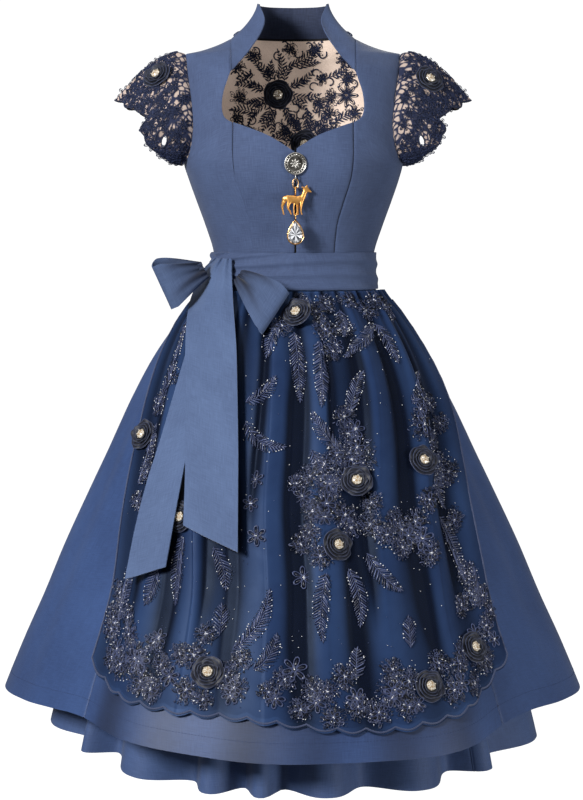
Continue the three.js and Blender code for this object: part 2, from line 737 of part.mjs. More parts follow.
function apronFold(u, down) {
  let i = 0;
  while (i < APRON_CRESTS.length - 2 && u >= APRON_CRESTS[i + 1].at) i += 1;
  const [here, next] = [APRON_CRESTS[i], APRON_CRESTS[i + 1]];
  const share = clamp((u - here.at) / (next.at - here.at), 0, 1);
  const deep = here.depth * (0.35 + 0.65 * Math.sin(Math.PI * Math.min(1, 0.25 + down * 0.75)));
  const large = deep * (0.5 + 0.5 * Math.cos(2 * Math.PI * share));
  const fade = Math.exp(-down / 0.16);
  const small = GATHER_RISE * fade * (0.5 + 0.5 * Math.cos(2 * Math.PI * GATHERS * u));
  return 1 + large * (1 - 0.55 * fade) + small;
}
const apronSide = { seamTurn: (z) => [-reachRight(z), reachLeft(z)] };
function apronPoint(u, down, out = 0) {
  const lowTurn = mix(-45.4, 50.5, u);
  const scallop = SCALLOP_DEPTH * Math.abs(Math.sin(Math.PI * SCALLOPS * u));
  const z = mix(SASH_BOTTOM_Z - 1.8, apronHem(lowTurn) - scallop * down ** 6, down);
  const [from, to] = apronSide.seamTurn(z);
  const turn = mix(from, to, u);
  const lift = APRON_ROOM + APRON_CLOTH + apronFold(u, down) + out;
  return skirtRing(turn, z, Math.max(foldAt(turn, z), APRON_SINK) + lift);
}
const APRON_DOWN = [1, 0.985, 0.93, 0.8, 0.65, 0.5, 0.35, 0.2, 0.08, 0];
const apron = add(
  "apron",
  wall({ point: apronPoint, us: steps(0, 1, SCALLOPS * 3), vs: APRON_DOWN, thick: APRON_CLOTH }),
  NAVY_SATIN,
);

// ---------------------------------------------------------------- sash
const SASH = [
  { z: -358, half: 135, front: 107.5, back: 107 },
  { z: -345, half: 130.5, front: 104, back: 103 },
  { z: -330, half: 128, front: 102, back: 100 },
  { z: -303, half: 127, front: 101.5, back: 95 },
];
const SASH_FOLDS = 2.5;
const SASH_FOLD_RISE = 1.2;
const sash = Object.fromEntries(["half", "front", "back"].map((key) => [key, track(SASH, "z", key)]));
function sashPoint(turn, z) {
  const share = (z - SASH_BOTTOM_Z) / (SASH_TOP_Z - SASH_BOTTOM_Z);
  const swell = SASH_FOLD_RISE * (1 + Math.cos(2 * Math.PI * SASH_FOLDS * share + rad(turn)));
  const [s, c] = [Math.sin(rad(turn)), Math.cos(rad(turn))];
  const depth = (c > 0 ? sash.front(z) : sash.back(z)) + swell;
  return vec(middleX(z) + (sash.half(z) + swell) * s, -depth * c, z);
}
const sashBand = add(
  "sash",
  wall({
    point: sashPoint,
    us: steps(0, 348, 29),
    vs: steps(SASH_BOTTOM_Z, SASH_TOP_Z, 4),
    thick: SASH_CLOTH,
    ring: true,
  }),
  BLUE,
);

// ---------------------------------------------------------------- sleeves
// The sleeve's hem from the shoulder tip (0) forwards to the underarm (1), on the wearer's left.
const SLEEVE_HEM = [
  { share: 0, x: 267, y: 0, z: -66 },
  { share: 0.15, x: 252, y: 19, z: -77 },
  { share: 0.3, x: 237, y: 36, z: -84 },
  { share: 0.45, x: 219, y: 50, z: -98 },
  { share: 0.6, x: 226, y: 58, z: -121 },
  { share: 0.75, x: 210, y: 56, z: -146 },
  { share: 0.9, x: 187, y: 42, z: -163 },
  { share: 1, x: 174, y: 26, z: -168 },
];
const SLEEVE_BULGE = 18;
const SLEEVE_SCALLOPS = 11;
const SLEEVE_CLOTH = 1.2;
const EYELET = { x: 198, z: -132, halfWidth: 9, halfHeight: 13 };
const hemOf = Object.fromEntries(["x", "y", "z"].map((key) => [key, track(SLEEVE_HEM, "share", key)]));
const armholeTable = armholeCurve.map(([x, z]) => ({ x, z })).sort((a, b) => a.z - b.z);
const armholeX = track(armholeTable, "z", "x");

function sleevePoint(side, along, out) {
  const share = Math.abs(along);
  const rootZ = mix(-1, -164, 0.5 - 0.5 * Math.cos(Math.PI * share));
  const rootX = armholeX(rootZ);
  const reach = along < 0 ? bodice.front : bodice.back;
  const way = along < 0 ? -1 : 1;
  const root = vec(rootX + 0.6, way * bodiceDepth(rootX, rootZ, reach), rootZ);
  const hem = vec(hemOf.x(share), way * hemOf.y(share), hemOf.z(share));
  const scallop = 1 + 0.07 * Math.abs(Math.sin(Math.PI * SLEEVE_SCALLOPS * 0.5 * (along + 1)));
  const p = root.lerp(hem, out * mix(1, scallop, out ** 4));
  const lean = rad(100 * along);
  const early = out ** 0.7;
  const bulge = SLEEVE_BULGE * mix(1, 0.45, share) * 4 * early * (1 - early);
  p.add(vec(0.45, 0.85 * Math.sin(lean), 0.85 * Math.cos(lean)).multiplyScalar(bulge));
  p.x *= side;
  return p;
}
const sleeves = {};
const eyeletOutline = Array.from({ length: 8 }, (_, i) => {
  const angle = (i / 8) * 2 * Math.PI;
  return [EYELET.x + EYELET.halfWidth * Math.cos(angle), EYELET.z + EYELET.halfHeight * Math.sin(angle)];
});
for (const [name, side] of [
  ["left", 1],
  ["right", -1],
]) {
  const cap = wall({
    point: (along, out) => sleevePoint(side, along, out),
    us: steps(-1, 1, SLEEVE_SCALLOPS * 2),
    vs: [0, 0.25, 0.5, 0.75, 1],
    thick: SLEEVE_CLOTH,
    side: -side,
  });
  const eyelet = cutter(side > 0 ? eyeletOutline : mirrored(eyeletOutline).reverse(), -FAR, FAR);
  sleeves[name] = add(`sleeve_${name}`, cap.subtract(eyelet), NAVY_LACE);
}

// ---------------------------------------------------------------- rosettes and stones
// Half the section of a rosette: three frilled rings of cloth round a small seat for the stone.
const ROSETTE_PROFILE = [
  { share: 0.94, height: 0 },
  { share: 1, height: 3.4 },
  { share: 0.7, height: 3 },
  { share: 0.62, height: 6.4 },
  { share: 0.37, height: 3.8 },
];
const ROSETTE_SIDES = 10;
const SEAT_HEIGHT = 3.8;
const rosettes = [];
// A place on the cloth and the way out of it there.
function seatOn(point, u, v, facing) {
  const at = point(u, v);
  const e = 4e-3;
  const across = point(u + e, v).sub(point(u - e, v));
  const up = point(u, v + e).sub(point(u, v - e));
  const out = across.cross(up).normalize();
  if (out.dot(facing) < 0) out.negate();
  return { at, out };
}
function rosette(name, { at, out }, turn, carrier) {
  const radius = ROSETTE_RADIUS;
  const positions = [];
  const triangles = [];
  const levels = ROSETTE_PROFILE.length;
  ROSETTE_PROFILE.forEach(({ share, height }, level) => {
    for (let i = 0; i < ROSETTE_SIDES; i += 1) {
      const angle = (i / ROSETTE_SIDES) * 2 * Math.PI;
      const frill = level === 0 ? 1 : 1 + 0.05 * Math.sin(3 * angle + 1.7 * level + turn);
      positions.push(
        radius * share * frill * Math.cos(angle),
        radius * share * frill * Math.sin(angle),
        height,
      );
    }
  });
  positions.push(0, 0, 0, 0, 0, SEAT_HEIGHT);
  const [foot, crown] = [levels * ROSETTE_SIDES, levels * ROSETTE_SIDES + 1];
  for (let i = 0; i < ROSETTE_SIDES; i += 1) {
    const next = (i + 1) % ROSETTE_SIDES;
    triangles.push(foot, next, i);
    for (let level = 0; level < levels - 1; level += 1) {
      const [low, high] = [level * ROSETTE_SIDES, (level + 1) * ROSETTE_SIDES];
      triangles.push(low + i, low + next, high + next, low + i, high + next, high + i);
    }
    const rim = (levels - 1) * ROSETTE_SIDES;
    triangles.push(rim + i, rim + next, crown);
  }
  const frame = new THREE.Matrix4();
  const turned = new THREE.Quaternion().setFromUnitVectors(vec(0, 0, 1), out);
  frame.compose(at.clone().addScaledVector(out, -2), turned, vec(1, 1, 1));
  const place = (geometry) => solidOf(geometry.applyMatrix4(frame));
  const flower = new THREE.BufferGeometry();
  flower.setAttribute("position", new THREE.Float32BufferAttribute(positions, 3));
  flower.setIndex(triangles);
  const cloth = place(flower);
  const seat = settling(cloth, [carrier], out);
  rosettes.push(add(name, moved(cloth, seat), NAVY_FACING));
  const stone = new THREE.LatheGeometry(
    [
      new THREE.Vector2(0, 0),
      new THREE.Vector2(STONE_RADIUS, 0),
      new THREE.Vector2(STONE_RADIUS, 1.2),
      new THREE.Vector2(STONE_RADIUS * 0.6, 3.2),
      new THREE.Vector2(0, 3.2),
    ],
    8,
  );
  stone.rotateX(Math.PI / 2);
  stone.translate(0, 0, SEAT_HEIGHT + GAP);
  rosettes.push(add(name.replace("rosette", "stone"), moved(place(stone), seat), CRYSTAL));
}
// Places on the apron, as shares of its width and of its length.
const APRON_ROSETTES = [
  { u: 0.506, down: 0.062 },
  { u: 0.635, down: 0.454 },
  { u: 0.82, down: 0.423 },
  { u: 0.581, down: 0.594 },
  { u: 0.216, down: 0.56 },
  { u: 0.03, down: 0.4 },
  { u: 0.303, down: 0.903 },
  { u: 0.754, down: 0.92 },
  { u: 0.899, down: 0.902 },
];
const FRONT = vec(0, -1, 0);
APRON_ROSETTES.forEach(({ u, down }, i) => {
  rosette(`rosette_apron_${i + 1}`, seatOn(apronPoint, u, down, FRONT), i, apron);
});
// On the sleeves they face forwards and out, above the scallops: how far along the sleeve's hem
// from its front, and how far from the armhole to the hem.
const SLEEVE_ROSETTES = [
  { name: "left", side: 1, along: 0.37, out: 0.48 },
  { name: "right", side: -1, along: 0.39, out: 0.45 },
];
for (const { name, side, along, out } of SLEEVE_ROSETTES) {
  const onSleeve = (u, v) => sleevePoint(side, 2 * u - 1, v);
  rosette(`rosette_sleeve_${name}`, seatOn(onSleeve, along, out, vec(side, -1, 1)), side, sleeves[name]);
}
// Inside the yoke they face forwards, and are seen through the neckline.
const YOKE_ROSETTES = [
  { name: "upper", x: -24, z: -54 },
  { name: "lower", x: 19, z: -133 },
];
for (const { name, x, z } of YOKE_ROSETTES) {
  const inside = (u, v) => {
    const [px, pz] = [x + (u - 0.5) * 60, z + (v - 0.5) * 60];
    return vec(px, bodiceDepth(px, pz, bodice.back) - CLOTH, pz);
  };
  rosette(`rosette_yoke_${name}`, seatOn(inside, 0.5, 0.5, FRONT), z, yoke);
}

// ---------------------------------------------------------------- bow
// It is tied at the wearer's right, over the sash and the apron.
const KNOT = vec(-119, -46.5, -331);
const KNOT_OUT = vec(-0.85, -0.52, 0); // away from the sash
const BOW_CLOTH = 1.6;
const knotGeometry = new THREE.SphereGeometry(1, 12, 8);
knotGeometry.scale(17, 3.8, 16);
knotGeometry.rotateZ(Math.atan2(KNOT_OUT.x, -KNOT_OUT.y));
knotGeometry.translate(KNOT.x, KNOT.y, KNOT.z);
const knot = add("bow_knot", settled(solidOf(knotGeometry), [sashBand], KNOT_OUT), BLUE);

// The tails lie over the apron. Each row gives the tail's two edges and how far it stands out.
const FRONT_TAIL = [
  { z: -717, leftX: -155, rightX: -76, out: 29 },
  { z: -640, leftX: -153.5, rightX: -76.5, out: 26 },
  { z: -577, leftX: -154, rightX: -77, out: 21 },
  { z: -446, leftX: -158, rightX: -81, out: 20 },
  { z: -400, leftX: -158, rightX: -85, out: 20 },
  { z: -370, leftX: -154, rightX: -88, out: 19 },
  { z: -345, leftX: -144, rightX: -90, out: 17.5 },
  { z: -327, leftX: -135, rightX: -91, out: 16 },
  { z: -311, leftX: -117, rightX: -92, out: 14 },
];
const BACK_TAIL = [
  { z: -765, leftX: -240, rightX: -184, out: 23 },
  { z: -690, leftX: -226, rightX: -171, out: 23 },
  { z: -633, leftX: -212, rightX: -161, out: 21 },
  { z: -577, leftX: -195, rightX: -150, out: 15 },
  { z: -446, leftX: -158, rightX: -112, out: 14 },
  { z: -400, leftX: -148, rightX: -106, out: 14 },
  { z: -364, leftX: -134, rightX: -104, out: 14 },
];
const TAIL_SLANT = { front: 32, back: -22 }; // how much lower each tail's end is at its right side
const TAIL_OUT = vec(-0.47, -0.88, 0); // away from the skirt behind the tails
function tailPoint(table, slant) {
  const column = Object.fromEntries(
    ["leftX", "rightX", "out"].map((key) => [key, track(table, "z", key)]),
  );
  const [bottom, top] = [table[0].z, table.at(-1).z];
  return (u, v) => {
    const lowest = bottom + Math.max(slant, 0) * (1 - u) - Math.min(slant, 0) * u;
    const z = mix(lowest, top, v);
    const x = mix(column.leftX(z), column.rightX(z), u);
    const out = column.out(z);
    const wide = skirtHalf(z) + out;
    const deep = skirtHalf(z) * skirtDepth(z) + out;
    return vec(x, -deep * Math.sqrt(Math.max(0.02, 1 - ((x - middleX(z)) / wide) ** 2)), z);
  };
}
function tail(name, table, slant, carriers) {
  const rows = steps(0, 1, 9);
  const cloth = wall({ point: tailPoint(table, slant), us: steps(0, 1, 4), vs: rows, thick: BOW_CLOTH });
  return add(name, settled(cloth, carriers, TAIL_OUT), BLUE);
}
const underTails = [apron, sashBand, knot, ...rosettes];
const backTail = tail("bow_tail_back", BACK_TAIL, TAIL_SLANT.back, underTails);
const frontTail = tail("bow_tail_front", FRONT_TAIL, TAIL_SLANT.front, [...underTails, backTail]);

// A loop of the bow: a band that leaves the knot, turns at its end and comes back. reach is the
// middle of its end, edge the way across the band there, belly how far its two layers part, and
// raise how far the rear layer's upper edge arches above the front one's.
function bowLoop({ root, reach, edge, width, belly, rootWidth, raise }) {
  const along = reach.clone().sub(root);
  const length = along.length();
  along.normalize();
  const across = edge.clone().normalize();
  const apart = along.clone().cross(across).normalize();
  if (apart.y > 0) apart.negate();
  return (u, v) => {
    const angle = Math.PI * u;
    const out = Math.sin(angle);
    const half = mix(rootWidth, width, Math.min(1, out * 1.15) ** 1.5) / 2;
    const p = root.clone().addScaledVector(along, length * out);
    p.addScaledVector(apart, belly * Math.sin(2 * angle) * 0.5 + 1.6 * Math.cos(angle));
    p.addScaledVector(across, half * (2 * v - 1));
    const pucker = 3 * Math.sin(2 * Math.PI * v) * (1 - out) * Math.cos(angle);
    p.z += u > 0.5 ? raise * v * Math.abs(Math.sin(2 * angle)) : 0;
    return p.addScaledVector(apart, pucker);
  };
}
const LOOPS = [
  {
    name: "bow_loop_right",
    root: vec(-133, -60, -329),
    reach: vec(-197.5, -80, -355.5),
    edge: vec(-29, 0, 63),
    width: 70,
    belly: 26,
    rootWidth: 26,
    raise: 12,
    away: vec(-0.35, -0.93, 0),
  },
  {
    name: "bow_loop_left",
    root: vec(-85, -86, -338),
    reach: vec(-29, -152, -389),
    edge: vec(40, 30, 60),
    width: 76,
    belly: 22,
    rootWidth: 18,
    raise: 0,
    away: vec(0.35, -0.94, 0),
  },
];
for (const { name, away, ...shape } of LOOPS) {
  const loop = wall({ point: bowLoop(shape), us: steps(0, 1, 14), vs: steps(0, 1, 3), thick: BOW_CLOTH });
  add(name, settled(loop, [...underTails, backTail, frontTail], away), BLUE);
}

// ---------------------------------------------------------------- pendant
// A medallion pinned to the point of the neckline, a link, a small deer and a glass drop. Each
// hangs from the one above by two rings that stand across each other.
const MEDALLION = { z: -171, radius: 16.6, thick: 5 };
const EYE = { half: 3, halfHeight: 4.5, z: -191 }; // under the medallion
const LINK = { half: 4, halfHeight: 6.9, z: -200.3 };
const CHARM_EYE = { half: 3, halfHeight: 5.8, z: -210.9 };
const CHARM_Z = -216.2; // the deer's back
const DEER_SHIFT = -0.55; // sets its centre of mass under its eye
const BELLY_RING = { half: 2.4, halfHeight: 9, z: -238.2 };
const BAIL = { half: 2.4, halfHeight: 4, z: -249.1 };
const DROP = { top: -252.6, bottom: -290.6, half: 12.8, thick: 6 };
const CHAIN_FORWARD = 3.9; // from the medallion's back to the rings

const medallionProfile = [
  [0, 0],
  [15.6, 0],
  [MEDALLION.radius, -1],
  [MEDALLION.radius, -MEDALLION.thick + 1],
  [15.6, -MEDALLION.thick],
  [12.2, -MEDALLION.thick + 1],
  [0, -MEDALLION.thick + 0.6],
].map(([radius, y]) => new THREE.Vector2(radius, y));
const medallionDisc = new THREE.LatheGeometry(medallionProfile, 18);
medallionDisc.translate(CENTRE_X, frontY(CENTRE_X, MEDALLION.z) + 2, MEDALLION.z);
const medallion = settled(solidOf(medallionDisc), [centreLeft, centreRight], FRONT);
const backs = medallion.getMesh().vertProperties.filter((_, i) => i % 3 === 1);
const CHAIN_Y = Math.max(...backs) - CHAIN_FORWARD;

// A closed ring of wire. It faces forwards, or sideways when `edgeOn` is set.
function ring({ half, halfHeight, z }, edgeOn) {
  const straight = halfHeight - half;
  const points = steps(0, 360, 12)
    .slice(0, -1)
    .map((angle) => {
      const across = half * Math.cos(rad(angle));
      const height = half * Math.sin(rad(angle)) + straight * signedPower(Math.sin(rad(angle)), 0.3);
      return edgeOn
        ? vec(CENTRE_X, CHAIN_Y + across, z + height)
        : vec(CENTRE_X + across, CHAIN_Y, z + height);
    });
  const path = new THREE.CatmullRomCurve3(points, true);
  return solidOf(new THREE.TubeGeometry(path, 16, WIRE, 5, true));
}
add("medallion", medallion.add(ring(EYE, true)), SILVER);
add("pendant_link", ring(LINK, false), GOLD);

// The deer's side view, head to the wearer's left, measured from its back under the eye.
const DEER = [
  [-19.5, -2],
  [-16, -0.6],
  [-11, 1.2],
  [-5, -0.4],
  [0, -1],
  [6.4, -2],
  [9.5, 2.5],
  [10.4, 7.6],
  [8.2, 12],
  [11, 11.6],
  [13.4, 9.2],
  [16, 15],
  [19.2, 14.6],
  [18.6, 9.4],
  [25, 3.4],
  [24, 1.8],
  [17.4, 1.6],
  [15.6, -2.8],
  [12.8, -9],
  [10.4, -14],
  [9.8, -20],
  [10.4, -25.5],
  [12, -31.6],
  [8.6, -31.6],
  [7.9, -25],
  [7, -19.5],
  [6.2, -25],
  [6.3, -31.6],
  [3.3, -31.6],
  [2.8, -24],
  [1.6, -15],
  [-7.6, -14.2],
  [-9.4, -19.8],
  [-5.6, -26.5],
  [-3.8, -31.4],
  [-7.2, -31.4],
  [-8.4, -28],
  [-12.6, -20.2],
  [-13.6, -15],
  [-17.4, -18],
  [-16.8, -25],
  [-14.4, -31.6],
  [-18.4, -31.6],
  [-19.4, -24],
  [-21, -17.6],
  [-16.4, -12.8],
  [-15.6, -9.5],
  [-18.4, -6],
];
const DEER_THICK = 3.4;
const DEER_BEVEL = 1.4;
const deerShape = new THREE.Shape(DEER.map(([x, z]) => new THREE.Vector2(x, z)));
const deerGeometry = new THREE.ExtrudeGeometry(deerShape, {
  depth: DEER_THICK,
  bevelThickness: DEER_BEVEL,
  bevelSize: 0.6,
  bevelOffset: -0.6,
  bevelSegments: 1,
});
deerGeometry.rotateX(Math.PI / 2);
deerGeometry.translate(CENTRE_X + DEER_SHIFT, CHAIN_Y + DEER_THICK / 2, CHARM_Z);
add("deer_charm", solidOf(deerGeometry).add(ring(CHARM_EYE, true)).add(ring(BELLY_RING, false)), GOLD);

// A drop outline: a half circle below, drawn up to a point, grown or shrunk by `by`.
function dropOutline(by, count) {
  const half = DROP.half + by;
  const middle = DROP.bottom + DROP.half;
  const arc = steps(-180, 0, count).map((angle) => [
    CENTRE_X + half * Math.cos(rad(angle)),
    middle + half * Math.sin(rad(angle)),
  ]);
  const tip = DROP.top + by * 1.6;
  const shoulder = (side) => [CENTRE_X + side * half * 0.66, mix(middle, tip, 0.5)];
  return [...arc, shoulder(1), [CENTRE_X + 1, tip], [CENTRE_X - 1, tip], shoulder(-1)];
}
const dropPlate = (by, fromY, toY) => cutter(dropOutline(by, 9), fromY, toY);
const dropBack = CHAIN_Y + DROP.thick / 2;
const setting = dropPlate(0, CHAIN_Y - DROP.thick / 2, dropBack)
  .subtract(dropPlate(-1.6, CHAIN_Y - DROP.thick, dropBack - 1.2))
  .add(ring(BAIL, true));
add("drop_setting", setting, GOLD);
const glass = dropPlate(-1.6 - GAP, CHAIN_Y - 2, dropBack - 1.2 - GAP).add(
  dropPlate(-5, CHAIN_Y - 4.5, CHAIN_Y - 1),
);
add("drop_crystal", glass, CRYSTAL);

export default part;
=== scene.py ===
import bmesh
import bpy
import numpy as np
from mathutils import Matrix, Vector


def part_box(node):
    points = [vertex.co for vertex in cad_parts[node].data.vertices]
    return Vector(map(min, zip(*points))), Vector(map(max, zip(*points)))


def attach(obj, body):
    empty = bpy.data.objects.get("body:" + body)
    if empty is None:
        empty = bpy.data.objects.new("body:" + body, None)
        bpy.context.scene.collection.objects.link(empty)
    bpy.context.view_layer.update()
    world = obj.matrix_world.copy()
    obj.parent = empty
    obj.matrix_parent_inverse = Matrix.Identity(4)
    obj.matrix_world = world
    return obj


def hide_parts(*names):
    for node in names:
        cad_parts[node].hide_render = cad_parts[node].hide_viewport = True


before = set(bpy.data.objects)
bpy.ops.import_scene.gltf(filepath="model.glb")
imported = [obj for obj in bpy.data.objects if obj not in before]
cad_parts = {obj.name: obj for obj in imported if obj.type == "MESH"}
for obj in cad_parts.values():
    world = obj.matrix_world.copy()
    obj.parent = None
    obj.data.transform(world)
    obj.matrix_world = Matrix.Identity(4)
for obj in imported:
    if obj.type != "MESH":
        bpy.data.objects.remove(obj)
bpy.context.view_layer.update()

# ---------------------------------------------------------------- studio
# A pale floor that sweeps up into a pale wall, three large soft lights and a camera with a long lens
# that stands three metres away, level with the bodice, and looks a little down.
CAMERA_FAR = 3.0
CAMERA_Z = -0.268
CAMERA_PITCH = 5.03  # degrees below the level
FRAME_LONG = 800  # the frame's long side in pixels
FOCAL = 1935.5  # the focal length in the same pixels
SENSOR = 36
FLOOR_Z, WALL_HIGH = -1.42, 12
LIGHTS_AIM = (0, 0, -0.5)
LIGHTS = (
    ("key_light", (-2.1, -2.6, 0.75), 0.8, 128),
    ("fill_light", (2.5, -1.7, -0.8), 1.0, 34),
    ("top_light", (-0.2, -0.6, 2.4), 1.0, 14),
)

bpy.ops.object.select_all(action="DESELECT")
bpy.ops.object.camera_add(
    location=(-0.0023, -CAMERA_FAR, CAMERA_Z), rotation=(np.radians(90 - CAMERA_PITCH), 0, 0)
)
camera = bpy.context.object
camera.data.sensor_width = SENSOR
camera.data.lens = SENSOR * FOCAL / FRAME_LONG
camera.data.clip_end = 40
bpy.context.scene.camera = camera


def rework(mesh, job):
    """Does one job on the corners and faces of a mesh."""
    edit = bmesh.new()
    edit.from_mesh(mesh)
    job(edit)
    edit.to_mesh(mesh)
    edit.free()


def raise_wall(edit):
    far_edge = [e for e in edit.edges if all(v.co.y > 0 for v in e.verts)]
    risen = bmesh.ops.extrude_edge_only(edit, edges=far_edge)["geom"]
    corners = [v for v in risen if isinstance(v, bmesh.types.BMVert)]
    bmesh.ops.translate(edit, verts=corners, vec=(0, 0, WALL_HIGH))


bpy.ops.mesh.primitive_plane_add(size=24, location=(0, 4, FLOOR_Z))
floor = bpy.context.object
floor.name = "studio_floor"
rework(floor.data, raise_wall)
pale = bpy.data.materials.new("lit_paper")
pale.use_nodes = True
paper = pale.node_tree.nodes["Principled BSDF"].inputs
paper["Base Color"].default_value = (0.3, 0.3, 0.3, 1)
paper["Roughness"].default_value = 1
paper["Specular IOR Level"].default_value = 0
paper["Emission Color"].default_value = (1, 1, 1, 1)
paper["Emission Strength"].default_value = 1.0
floor.data.materials.append(pale)
floor.visible_diffuse = floor.visible_glossy = floor.visible_shadow = False

for name, place, size, power in LIGHTS:
    bpy.ops.object.light_add(type="AREA", location=place)
    light = bpy.context.object
    light.name = name
    light.data.size = size
    light.data.energy = power
    aim = Vector(LIGHTS_AIM) - Vector(place)
    light.rotation_mode = "QUATERNION"
    light.rotation_quaternion = aim.to_track_quat("-Z", "Y")
world = bpy.data.worlds.new("studio")
world.use_nodes = True
world.node_tree.nodes["Background"].inputs["Color"].default_value = (1, 1, 1, 1)
world.node_tree.nodes["Background"].inputs["Strength"].default_value = 0.18
bpy.context.scene.world = world
bpy.context.scene.view_settings.view_transform = "Standard"

# ---------------------------------------------------------------- bodice
# Seven panels of slub linen over interlining, cut to the body and joined in princess seams. Each
# seam is pressed open, so the cloth dips a little to each side of it.


def table(columns, *rows):
    return dict(zip(columns.split(), np.array(rows, float).T))


def track(rows, along, key):
    """A smooth curve through one column of a table, read by another column that rises."""
    at, value = rows[along], rows[key]
    before = np.maximum(np.arange(len(at)) - 1, 0)
    after = np.minimum(np.arange(len(at)) + 1, len(at) - 1)
    slope = (value[after] - value[before]) / (at[after] - at[before])

    def read(x):
        i = np.clip(np.searchsorted(at, x, side="right") - 1, 0, len(at) - 2)
        span = at[i + 1] - at[i]
        t = np.clip((x - at[i]) / span, 0, 1)
        return (
            value[i] * (2 * t**3 - 3 * t**2 + 1)
            + span * slope[i] * (t**3 - 2 * t**2 + t)
            + value[i + 1] * (3 * t**2 - 2 * t**3)
            + span * slope[i + 1] * (t**3 - t**2)
        )

    return read


def mix(a, b, t):
    return a + (b - a) * t


def points(x, y, z):
    return np.stack(np.broadcast_arrays(x, y, z), axis=-1).astype(float)


def unit(v):
    return v / np.maximum(np.linalg.norm(v, axis=-1, keepdims=True), 1e-9)


def lengths(grid, axis):
    """How far along the cloth each point of a grid lies, counted from its first row or column."""
    step = np.linalg.norm(np.diff(grid, axis=axis), axis=-1)
    return np.concatenate([np.zeros_like(np.take(step, [0], axis)), np.cumsum(step, axis)], axis)


def grid_normals(grid):
    return unit(np.cross(np.gradient(grid, axis=1), np.gradient(grid, axis=0)))


class Wire:
    """A socket of a material's tree. Python's operators on it add Math nodes."""

    def __init__(self, tree, socket):
        self.tree, self.socket = tree, socket

    def math(self, operation, *values):
        return self.node("Math", {"operation": operation}, *values)

    def node(self, kind, settings=None, *values, out=0, **named):
        """Any other node: its settings first, then the values or links of its sockets."""
        made = self.tree.nodes.new("ShaderNode" + kind)
        for key, value in (settings or {}).items():
            setattr(made, key, value)
        given = [*enumerate(values), *((key.replace("_", " "), value) for key, value in named.items())]
        for key, value in given:
            self.feed(made.inputs[key], value)
        return Wire(self.tree, made.outputs[out])

    def feed(self, socket, value):
        """Gives a socket a link or a plain value."""
        if isinstance(value, Wire):
            self.tree.links.new(value.socket, socket)
        else:
            socket.default_value = value

    def __add__(self, other):
        return self.math("ADD", self, other)

    def __sub__(self, other):
        return self.math("SUBTRACT", self, other)

    def __rsub__(self, other):
        return self.math("SUBTRACT", other, self)

    def __mul__(self, other):
        return self.math("MULTIPLY", self, other)

    __radd__ = __add__
    __rmul__ = __mul__

    def ramp(self, low, high):
        """0 below low, 1 above high."""
        return self.node("MapRange", {"interpolation_type": "SMOOTHSTEP"}, self, low, high)

    def blend(self, first, second):
        """One colour to another as this value goes from 0 to 1."""
        mixer = self.node("Mix", {"data_type": "RGBA"}).socket.node
        for slot, value in ((0, self), (6, first), (7, second)):
            self.feed(mixer.inputs[slot], value)
        return Wire(self.tree, mixer.outputs[2])


def shade(r, g, b):
    """An 8-bit colour as the shader reads it."""
    return (*(((c / 255 + 0.055) / 1.055) ** 2.4 if c > 10 else c / 3294.6 for c in (r, g, b)), 1)


def finish(name, colour, roughness, bump=None, depth=0.2, **fixed):
    """A material. colour, roughness and bump may be functions of a coordinate Wire."""
    made = bpy.data.materials.new(name)
    made.use_nodes = True
    tree = made.node_tree
    surface = tree.nodes["Principled BSDF"]
    maker = Wire(tree, surface.outputs[0])
    coordinates = maker.node("TexCoord").socket.node.outputs
    places = {"uv": Wire(tree, coordinates["UV"]), "object": Wire(tree, coordinates["Object"])}
    for key, value in {"Base Color": colour, "Roughness": roughness, **fixed}.items():
        maker.feed(surface.inputs[key.replace("_", " ")], value(places) if callable(value) else value)
    if bump:
        normal = maker.node("Bump", None, Strength=1.0, Distance=depth * 1e-3, Height=bump(places))
        maker.feed(surface.inputs["Normal"], normal)
    return made


def tint(places, low, high):
    """The mesh's tint, as 0 to 1 between two values: its own shades on some pieces, painted light and shade on others.
    """
    return places["uv"].node("Attribute", {"attribute_name": "tint"}, out=2).ramp(low, high)


def stretched(place, across, along):
    return place.node("Mapping", None, place, (0, 0, 0), (0, 0, 0), (across, along, 1))


def threads(places, across, along, detail):
    """Streaks of noise both ways of the cloth, on its own flat coordinates."""
    uv = places["uv"]
    warp = uv.node("TexNoise", None, stretched(uv, across, along), Scale=1.0, Detail=detail)
    weft = uv.node("TexNoise", None, stretched(uv, along, across), Scale=1.0, Detail=detail)
    return (warp + weft) * 0.5


def weave(places, thread=0.55):
    """A plain weave of threads of one width."""
    return threads(places, 1e3 / thread, 60, 2.0)


def slubs(places):
    """Long thicker threads, a few to the centimetre."""
    return threads(places, 900, 50, 3.0)


def mottle(places, scale=9.0):
    return places["uv"].node("TexNoise", None, places["uv"], Scale=scale, Detail=4.0)


def cells(places, scale, feature="F1"):
    """Round meshes like those of a net."""
    return places["uv"].node("TexVoronoi", {"feature": feature}, places["uv"], Scale=scale)


def linen(name, dark, light, roughness=0.82, sheen=0.25, deep=None):
    """Linen between two colours. With a deep colour, the cloth's tint is the light in its folds."""

    def colour(places):
        flat_colour = (slubs(places).ramp(0.3, 0.7) * 0.6 + mottle(places).ramp(0.3, 0.7) * 0.4).blend(
            shade(*dark), shade(*light)
        )
        return flat_colour if deep is None else tint(places, 0.0, 1.0).blend(shade(*deep), flat_colour)

    return finish(
        name,
        colour,
        roughness,
        bump=lambda places: weave(places) * 0.5 + slubs(places) * 0.5,
        depth=0.5,
        Sheen_Weight=sheen,
        Sheen_Roughness=0.4,
    )


BODICE_LINEN = linen("bodice_linen", (52, 66, 99), (76, 94, 132))


def add_piece(name, mesh, *materials):
    """A new object of the scene, made of one mesh."""
    piece = bpy.data.objects.new(name, mesh)
    bpy.context.collection.objects.link(piece)
    for material in materials:
        mesh.materials.append(material)
    return piece


